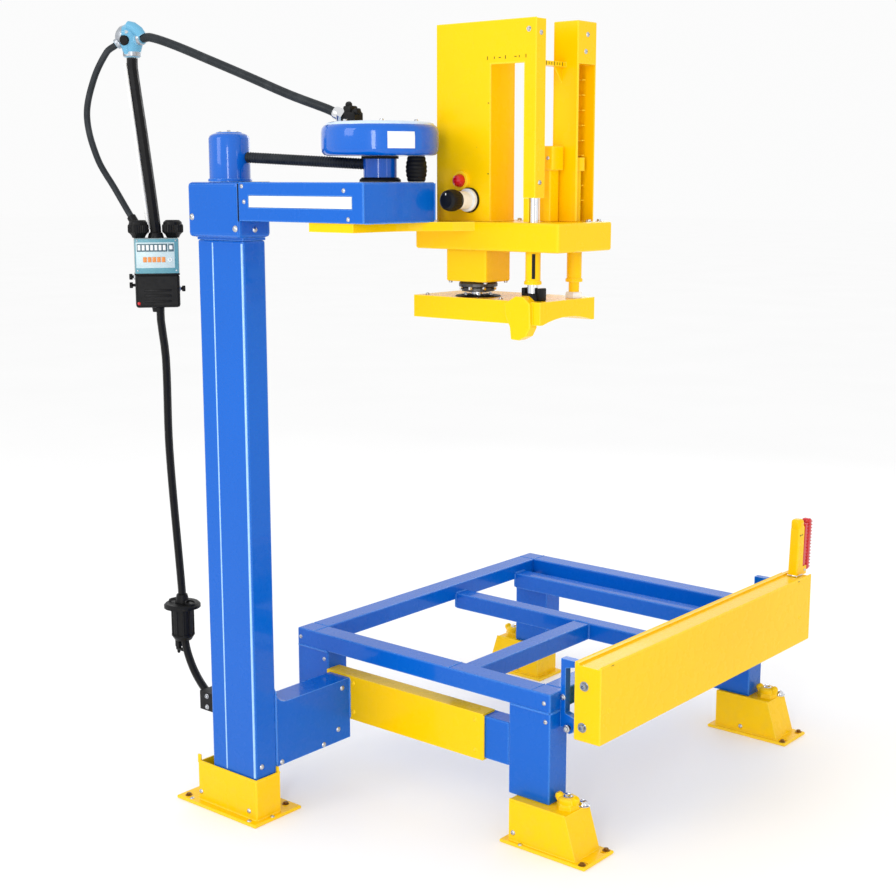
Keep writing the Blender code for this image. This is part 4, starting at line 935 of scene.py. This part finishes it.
def make_tower_details():
    """Folds, index marks and screws on the tower, and the back of its cylinder box."""
    front, fold = -0.0572, -0.0568
    shape = Shape()
    for x in (0.8265, 0.9395):
        shape.rod(at(x, fold, 1.842), at(x, fold, 2.188), 0.0017, 12, 8)
    shape.rod(at(0.8265, fold, 2.1885), at(0.9395, fold, 2.1885), 0.0017, 6, 8)
    shape.rod(at(0.8258, -0.054, 1.778), at(0.8258, 0.052, 1.778), 0.0018, 6, 8)
    for start, end in (((0.645, 0.0535), (0.82, 0.0535)), ((0.6385, -0.046), (0.6385, 0.048)),
            ((0.9295, 0.088), (0.9295, 0.162)), ((0.936, 0.1685), (1.004, 0.1685))):
        shape.bead(at(*start, PLATE_TOP), at(*end, PLATE_TOP), 0.003)
    shape.piece("tower_folds", YELLOW, "arm")
    shape = Shape()
    for x, z, width, height in ((0.816, 2.204, 2, 9), (0.839, 2.204, 2, 6), (0.857, 2.204, 7, 2),
            (0.876, 2.204, 2, 9), (0.909, 2.204, 7, 2), (0.921, 2.204, 2, 6), (0.943, 2.204, 2, 9),
            (0.82, 2.088, 5, 2), (0.82, 1.903, 5, 2)):
        shape.block(at(x - width / 2000, front - 0.0006, z - height / 2000),
            at(x + width / 2000, front + 0.001, z + height / 2000), 0.0003, 1)
    for index in range(7):
        y = -0.008 + index * 0.012
        tall = 0.0036 if index % 3 else 0.0052
        shape.block(at(0.9712, y, 2.188 - tall), at(0.9726, y + 0.0022, 2.188 + tall), 0.0003, 1)
    shape.piece("tower_marks", BLACK, "arm")
    fasteners("tower_front_screws", socket_screw, "arm", FRONT, 0.006, [(0.952, front, 2.271)])
    fasteners("post_side_screws", dome_screw, "arm", RIGHT, 0.007,
        [(1.01, 0.126, 2.266), (1.01, 0.118, 2.222), (0.976, -0.036, 2.262), (0.976, -0.036, 1.88)])
    fasteners("tower_back_screws", dome_screw, "arm", BACK, 0.007,
        [(x, 0.053, z) for x in (0.655, 0.809) for z in (1.81, 2.035, 2.27)]
        + [(0.97, 0.168, z) for z in (1.83, 2.05, 2.25)])
    fasteners("base_bolts", hex_bolt, "arm", UP, 0.0095,
        [(0.604, -0.03, 1.776), (0.604, 0.12, 1.776), (0.69, 0.112, 1.776), (0.8, 0.112, 1.776),
        (1.04, 0.1, 1.776), (1.04, 0.15, 1.776)])
    fasteners("plate_back_screws", hex_bolt, "arm", BACK, 0.0095,
        [(x, 0.172, 1.738) for x in (0.62, 0.77, 0.92, 1.03)])

    shape = Shape()
    for z in (2.17, 1.84):
        shape.block(at(0.712, 0.0525, z - 0.026), at(0.772, 0.06, z + 0.026), 0.003)
    shape.piece("port_plates", YELLOW, "arm")
    shape = Shape()
    for z in (2.17, 1.84):
        base = at(0.742, 0.06, z)
        shape.lathe(base, BACK, [(16.5, 12), (18.5, 9), (18.5, 0)], 6)
        shape.lathe(base, BACK, [(9, 30), (12, 26), (12, 10)], 24)
        for side in (-1, 1):
            dome_screw(shape, at(0.742 + side * 0.023, 0.06, z + side * 0.018), BACK, 0.005)
    shape.piece("port_plugs", CHROME, "arm")
    shape = Shape()
    for index in range(7):
        z = 1.95 + index * 0.02
        shape.block(at(0.7, 0.0522, z), at(0.784, 0.0572, z + 0.008), 0.002)
    shape.piece("back_louvres", YELLOW, "arm")
    shape = Shape()
    for index in range(9):
        z = 1.83 + index * 0.04
        shape.block(at(0.9352, 0.15, z), at(0.98, 0.163, z + 0.004), 0.001, 1)
    shape.block(at(0.9365, 0.0875, 1.8), at(0.9395, 0.162, 1.83), 0.001, 1)
    shape.piece("post_ribs", YELLOW, "arm")
    shape = Shape()
    shape.prism([at(0.954, 0.083, 2.183), at(0.954, 0.047, 2.183), at(0.954, 0.083, 2.14)],
        RIGHT * 0.005, 0.0008, 1)
    shape.block(at(0.9385, -0.0572, 1.7765), at(0.956, -0.052, 1.8396), 0.001, 1)
    shape.piece("tower_gussets", YELLOW, "arm")


def make_guide_details():
    """Gland and flange round the ram, and the slot's painted shade, rings and feet of the guide
    rods.
    """
    middle, bottom, top = axis_of("ram_gland")
    shape = Shape()
    for out in around(8, 0.3):
        shape.lathe(middle + out * 0.05 + UP * (top - 0.0138), DOWN,
            [(4.5, 8.5), (5.6, 7), (5.6, 0), (0, -1)], 6)
    shape.ring(middle + UP * (bottom - 0.002), UP,
        [(24.5, 3), (33, 3), (34.5, 1.5), (33, 0), (24.5, 0)], 40)
    shape.piece("gland_studs", CHROME, "arm")
    shape = Shape()
    shape.ring(middle + UP * PLATEN_TOP, UP, [(24, 5), (48, 5), (62, 2.5), (64, 0), (24, 0)], 48)
    shape.piece("ram_flange", DARK_RUBBER, "press")
    shape = Shape()
    for out in around(6, 0.2):
        socket_screw(shape, middle + out * 0.04 + UP * (PLATEN_TOP + 0.005), UP, 0.0048)
    shape.piece("ram_flange_screws", ZINC, "press")

    front_rod, rear_rod = at(0.957, -0.036, 0), at(0.978, 0.125, 0)
    # painted shade: a black patch on the sleeve stands for the dark inside of its slot
    shape = Shape()
    shape.patch(front_rod, [(20.7, 1628), (20.7, 1694)], -62, -38, 6, 1)
    shape.piece("sleeve_slot_shade", BLACK, "arm")
    shape = Shape()
    for rod in (front_rod, rear_rod):
        shape.ring(rod + UP * 1.6118, UP, [(19.5, 10), (22.5, 10), (23.5, 7), (23.5, 1), (19.5, 1)])
    shape.piece("sleeve_rings", YELLOW, "arm")
    shape = Shape()
    shape.ring(front_rod + UP * PLATEN_TOP, UP,
        [(15, 20), (20, 20), (21.5, 17), (24, 2), (24, 0), (15, 0)])
    for side in (-1, 1):
        low = front_rod + Vector((side * 0.025, -0.01, PLATEN_TOP))
        shape.block(low + Vector((-0.006, 0, 0)), low + Vector((0.006, 0.03, 0.034)), 0.0025)
    shape.piece("rod_bracket", BLACK, "press")
    shape = Shape()
    shape.ring(rear_rod + UP * PLATEN_TOP, UP,
        [(14.8, 16), (22.5, 16), (25, 13), (25, 0), (14.8, 0)], 6)
    shape.piece("rod_nut", WHITE, "press")
    fasteners("platen_screws", socket_screw, "press", UP, 0.0065,
        [(x, y, 1.569) for x in (0.6, 0.86) for y in (-0.05, 0.15)])
    fasteners("post_head_screws", dome_screw, "arm", FRONT, 0.0055,
        [(0.936, 0.023, 1.944), (0.958, 0.023, 1.944)])
    fasteners("housing_screws", socket_screw, "arm", DOWN, 0.0058,
        [(x, y, 1.611) for x in (0.681, 0.803) for y in (-0.046, 0.046)])


def make_controls():
    """The valve's rings, knurled grip and pointer, and the button's collar."""
    face = at(0.757, -0.0575, 1.833)
    shape = Shape()
    shape.ring(face, FRONT, [(30, 6), (32.5, 6), (33.8, 4), (33.8, 0), (30, 0)], 48)
    shape.ring(face, FRONT, [(23.5, 59.5), (25.5, 59.5), (25.5, 56.5), (23.5, 56.5)], 40)
    shape.piece("valve_rings", DARK_RUBBER, "arm")
    knob = at(0.757, -0.1196, 1.833)
    shape = Shape()
    shape.ring(knob, FRONT, [(27, 26), (28.6, 25), (29.2, 22), (29.2, 8), (28.6, 5), (27, 4)], 72,
        1.1)
    shape.lathe(knob + FRONT * 0.0398, FRONT, [(0, 0.6), (10, 0.4), (12.5, 0), (12.5, -1)], 32)
    shape.piece("valve_grip", BLACK, "valve_turn")
    shape = Shape()
    shape.block(knob + Vector((-0.0012, -0.041, 0.0135)), knob + Vector((0.0012, -0.0375, 0.0195)),
        0.0004, 1)
    shape.piece("valve_pointer", WHITE, "valve_turn")
    shape = Shape()
    shape.ring(at(0.729, -0.0575, 1.885), FRONT,
        [(22.8, 8), (25, 8), (26.2, 5.5), (26.8, 0), (22.8, 0)], 40)
    shape.piece("button_collar", YELLOW, "arm")


# ------------------------------------------------------------------ side guard
def make_guard_details():
    """The guard's bolts, marks and lips, the hinge nuts, and the grips of post and lever."""
    fasteners("guard_front_bolts", socket_screw, "guard", FRONT, 0.012,
        [(1.096, 0.036, 0.5), (1.091, 0.036, 0.378)], BLUED)
    fasteners("guard_rear_bolts", socket_screw, "guard", BACK, 0.012,
        [(1.096, 1.313, 0.5), (1.091, 1.313, 0.378)], BLUED)
    shape = Shape()
    for y in (0.077, 1.236):
        shape.ring(at(1.1508, y, 0.431), RIGHT,
            [(5, 0.4), (6.8, 1.6), (8.5, 0.4), (8.5, -1), (5, -1)], 28)
    shape.rod(at(1.149, 0.04, 0.5635), at(1.149, 1.309, 0.5635), 0.0026, 30, 10)
    shape.rod(at(1.0625, 0.04, 0.5635), at(1.0625, 1.268, 0.5635), 0.002, 30, 10)
    shape.rod(at(1.15, 0.0372, 0.34), at(1.15, 0.0372, 0.56), 0.002, 8, 8)
    shape.piece("guard_lips", YELLOW, "guard")
    shape = Shape()
    for y in (0.094, 1.219):
        shape.block(at(1.15, y - 0.007, 0.557), at(1.1516, y + 0.007, 0.559), 0.0005, 1)
    shape.piece("guard_marks", BLACK, "guard")
    fasteners("lug_screws", hex_bolt, "guard", LEFT, 0.0085,
        [(1.061, y, z) for y in (0.14, 1.11) for z in (0.395, 0.52)])
    shape = Shape()
    for base, out in ((at(1.035, 0.0385, 0.36), FRONT), (at(1.035, 1.2475, 0.36), BACK)):
        hex_bolt(shape, base - out * 0.0004, out, 0.011)
    shape.piece("hinge_nuts", ZINC, "stand")

    shape = Shape()
    shape.block(at(1.0865, 1.2585, 0.5588), at(1.1235, 1.303, 0.565), 0.002)
    shape.piece("grip_collar", CHROME, "guard")
    shape = Shape()
    shape.block(at(1.087, 1.2668, 0.716), at(1.123, 1.3035, 0.756), 0.011, 5)
    shape.piece("grip_cap", YELLOW, "guard")
    shape = Shape()
    for index, width in enumerate((7, 3, 5)):
        y = 1.271 + index * 0.009
        shape.block(at(1.121, y, 0.7), at(1.1226, y + width / 1000, 0.704), 0.0004, 1)
    shape.piece("grip_marks", BLACK, "guard")
    fasteners("grip_pins", dome_screw, "guard", RIGHT, 0.0052, [(1.1207, 1.32, 0.574)])
    foot, head = Vector((1.105, 1.3472, 0.569)), Vector((1.105, 1.3545, 0.747))
    along = (head - foot).normalized()
    turn = Matrix.Rotation(-math.atan2(along.y, along.z), 4, "X")
    shape = Shape()
    middle = CORNER + (foot + head) / 2
    half = Vector((0.015, 0.0118, (head - foot).length / 2))
    rib = Vector((0.0162, 0.013, 0.0026))
    shape.block(middle - half, middle + half, 0.0075, 4, turn)
    for index in range(15):
        place = CORNER + foot.lerp(head, 0.06 + 0.88 * index / 14)
        shape.block(place - rib, place + rib, 0.0024, 2, turn)
    shape.piece("lever_grip", RED, "lever")


# ------------------------------------------------------------------ pendant and mast
PENDANT = Vector((-0.19, -0.37, 0))
PENDANT_TURN = math.radians(52)
KNOB_OFFSET = 0.05
ACROSS = Vector((math.cos(PENDANT_TURN), math.sin(PENDANT_TURN), 0))
FACING = Vector((math.sin(PENDANT_TURN), -math.cos(PENDANT_TURN), 0))


def on_pendant(across, facing, height):
    """A place on the pendant: right of and in front of its middle, and above the floor."""
    return CORNER + PENDANT + ACROSS * across + FACING * facing + UP * height


def pendant_block(shape, low, high, bevel=0.001):
    """A block laid out along the pendant's own faces."""
    middle = [(a + b) / 2 for a, b in zip(low, high)]
    half = Vector([(b - a) / 2 for a, b in zip(low, high)])
    centre = on_pendant(*middle)
    turn = Matrix.Rotation(PENDANT_TURN + math.pi, 4, "Z")
    shape.block(centre - half, centre + half, bevel, 2, turn)


def make_pendant_details():
    """Panel, display, vents, lamp, screws and grips on the pendant."""
    face = 0.0362
    layers = (
        ("pendant_border", TEAL_LABEL,
         [((-0.0625, face - 0.002, 1.614), (0.0625, face + 0.0008, 1.7145))]),
        ("pendant_panel", PALE_LABEL,
         [((-0.06, face, 1.63), (0.052, face + 0.0016, 1.705))]),
        ("pendant_display", DARK_LABEL,
         [((-0.057, face + 0.001, 1.678), (0.031, face + 0.0026, 1.701)),
          ((0.034, face + 0.001, 1.678), (0.05, face + 0.0026, 1.701))]),
        ("pendant_bar", ORANGE_LABEL,
         [((x, face + 0.001, 1.647), (x + 0.0105, face + 0.003, 1.662))
          for x in (-0.04, -0.0265, -0.013, 0.0005, 0.014)]))
    for name, material, blocks in layers:
        shape = Shape()
        for low, high in blocks:
            pendant_block(shape, low, high, 0.0004)
        shape.piece(name, material, "stand")
    shape = Shape()
    for index in range(7):
        x = -0.0545 + 0.0122 * index
        pendant_block(shape, (x, face + 0.002, 1.682), (x + 0.0078, face + 0.0034, 1.6975), 0.0004)
    pendant_block(shape, (0.0375, face + 0.002, 1.6845), (0.0465, face + 0.0034, 1.696), 0.0004)
    shape.ring(on_pendant(0.038, face + 0.0012, 1.654), FACING,
        [(3.5, 1.6), (5.8, 1.6), (5.8, 0), (3.5, 0)], 28)
    shape.piece("pendant_digits", LABEL, "stand")

    shape = Shape()
    for index in range(3):
        z = 1.528 + index * 0.016
        pendant_block(shape, (-0.04, face - 0.002, z), (0.04, face + 0.0012, z + 0.007), 0.0014)
    pendant_block(shape, (-0.066, -0.037, 1.6085), (0.066, 0.037, 1.6135), 0.0016)
    for side, heights in ((-1, (1.603, 1.578)), (1, (1.566,))):
        for z in heights:
            base = on_pendant(side * 0.0648, 0.004, z)
            shape.lathe(base, ACROSS * side, [(4.5, 8), (4.5, 0)], 16)
            shape.ring(base + ACROSS * side * 0.007, ACROSS * side,
                [(1.5, 10), (7.8, 10), (8.8, 8), (8.8, 2), (7.8, 0), (1.5, 0)], 24, 0.9)
    shape.piece("pendant_fittings", BLACK, "stand")
    shape = Shape()
    shape.lathe(on_pendant(-0.056, 0.0355, 1.5255), FACING,
        [(0, 5), (2.2, 4.6), (4.2, 3), (4.8, 0.8), (4.8, -1)], 20)
    shape.piece("pendant_lamp", RED, "stand")
    shape = Shape()
    for x in (-0.056, 0.056):
        for z in (1.622, 1.71):
            dome_screw(shape, on_pendant(x, face + 0.0006, z), FACING, 0.0028)
        for z in (1.53, 1.6, 1.622, 1.708):
            dome_screw(shape, on_pendant(x, -0.0362, z), -FACING, 0.0034)
    for side in (-1, 1):
        shape.ring(on_pendant(side * 0.065, 0.004, 1.603 if side < 0 else 1.566), ACROSS * side,
            [(4.5, 3), (8, 3), (8.6, 0), (4.5, 0)], 24)
    shape.piece("pendant_screws", ZINC, "stand")

    lid = 1.7173
    profile = [(27.5, 40), (30.5, 38), (31.2, 34), (31.2, 20), (30.5, 16), (27.5, 14)]
    for name, side, body in (("gland_grip", -1, "stand"), ("dial_grip", 1, "dial")):
        shape = Shape()
        shape.ring(on_pendant(side * KNOB_OFFSET, 0, lid), UP, profile, 60, 1.6)
        shape.piece(name, BLACK, body)
    shape = Shape()
    shape.ring(on_pendant(0, 0, lid + 0.0002), UP,
        [(16.5, 16), (20, 14), (23.5, 3), (23.5, 0), (16.5, 0)])
    shape.ring(on_pendant(0, 0, 1.4975), UP, [(12.5, 0), (16.5, 0), (19, 14), (12.5, 14)])
    shape.piece("pole_collars", BLACK, "stand")


def make_mast_details():
    """Rings and ribs on the mast's socket, a white strip painted as the pole's highlight, and the
    cast head's fittings.
    """
    x, y = -0.125, -0.37
    shape = Shape()
    for side in (-1, 1):
        shape.ring(at(x + side * 0.036, y, 0.609), Vector((side * 0.22, 0, 1)),
            [(13, 3), (15, 4.5), (17.5, 3), (17.5, 0), (15, -1.5), (13, 0)], 28)
    for out in around(10):
        shape.rod(at(x, y, 0.505) + out * 0.033, at(x, y, 0.583) + out * 0.033, 0.003, 5, 8)
    for z in (0.586, 0.502):
        shape.ring(at(x, y, z), UP, [(31, 6), (35.5, 5), (35.5, 1), (31, 0)], 36)
    shape.ring(at(x, y, 0.6062), UP, [(12.5, 26), (16.5, 26), (21.5, 4), (21.5, 0), (12.5, 0)])
    shape.block(at(x - 0.03, y - 0.01, 0.46), at(x - 0.012, y + 0.01, 0.49), 0.003)
    shape.block(at(x - 0.031, y - 0.006, 0.449), at(x + 0.004, y + 0.006, 0.457), 0.002)
    shape.lathe(at(x - 0.024, y, 0.46), DOWN,
        [(0, 22), (3.5, 21), (5, 17), (5, 4), (8.5, 3), (8.5, 0)], 20)
    shape.piece("socket_fittings", BLACK, "stand")
    fasteners("clamp_screws", socket_screw, "stand", FRONT, 0.0062,
        [(0.012, -0.4, 0.308), (0.012, -0.4, 0.342)])

    # painted highlight: a white tube along the pole's left side stands for the light on the pole
    aside = -ACROSS * 0.021 + FACING * 0.004
    strip = ((-0.19, -0.37, 1.742), (-0.228, -0.373, 2.0), (-0.2617, -0.376, 2.222))
    path = smooth_route([at(*place) + aside for place in strip], 30)
    Shape().tube(path, [0.0052] * len(path), 12).piece("pole_highlight_strip", WHITE, "stand")
    centre = at(-0.262, -0.376, 2.292)
    shape = Shape()
    shape.lathe(centre, Vector((-0.86, -0.3, 0.45)),
        [(0, 49), (14, 47.5), (24, 41.5), (30.5, 31), (31.5, 18), (24, 10)], 40)
    shape.ring(centre - UP * 0.05, UP, [(16.5, 14), (26.2, 14), (26.2, 2), (24, 0), (16.5, 0)], 36)
    for mouth, out, radius in ((FEED_MOUTH, FEED_OUT, 16.5), (LOOP_MOUTH, LOOP_OUT, 13.5)):
        shape.lathe(CORNER + mouth, out, [(radius + 1, -1), (radius + 2.2, -3), (radius + 2.2, -12),
            (radius, -14)], 28)
    shape.piece("mast_head_trim", CAST, "stand")
    shape = Shape()
    shape.lathe(centre, Vector((0.24, -0.95, -0.16)), [(10.5, 41.5), (14.5, 38.5), (15.5, 20)], 24)
    shape.piece("mast_head_plugs", BLACK, "stand")
    shape = Shape()
    for way in ((0.35, -0.75, 0.5), (-0.35, 0.8, 0.2), (0.55, 0.65, 0.3)):
        out = Vector(way).normalized()
        shape.lathe(centre + out * 0.027, out, [(5.5, 12), (7.5, 10), (8, 0)], 6)
    shape.piece("mast_head_bolts", CHROME, "stand")
    shape = Shape()
    ribs = (
        (20, (0.0125, 0.015, 0.0155, 0.015),
         ((0.01, -0.02, 0.038), (0.026, -0.014, 0.032), (0.04, -0.006, 0.02),
          (0.048, -0.001, 0.006))),
        (16, (0.011, 0.012, 0.0105),
         ((0.004, -0.026, 0.02), (0.006, -0.024, -0.012), (0.002, -0.018, -0.042))))
    for sides, radii, path in ribs:
        shape.tube([centre + Vector(place) for place in path], radii, sides)
    shape.piece("mast_head_ribs", PALE_BLUE, "stand")


make_camera()
make_studio()
dress_frame()
make_hoses()
make_conduit()
make_round_pieces()
make_welds()
make_foot_caps()
make_stand_fasteners()
make_column_trim()
make_arm_details()
make_spindle_details()
make_rotary_unit_details()
make_tower_details()
make_guide_details()
make_controls()
make_guard_details()
make_pendant_details()
make_mast_details()
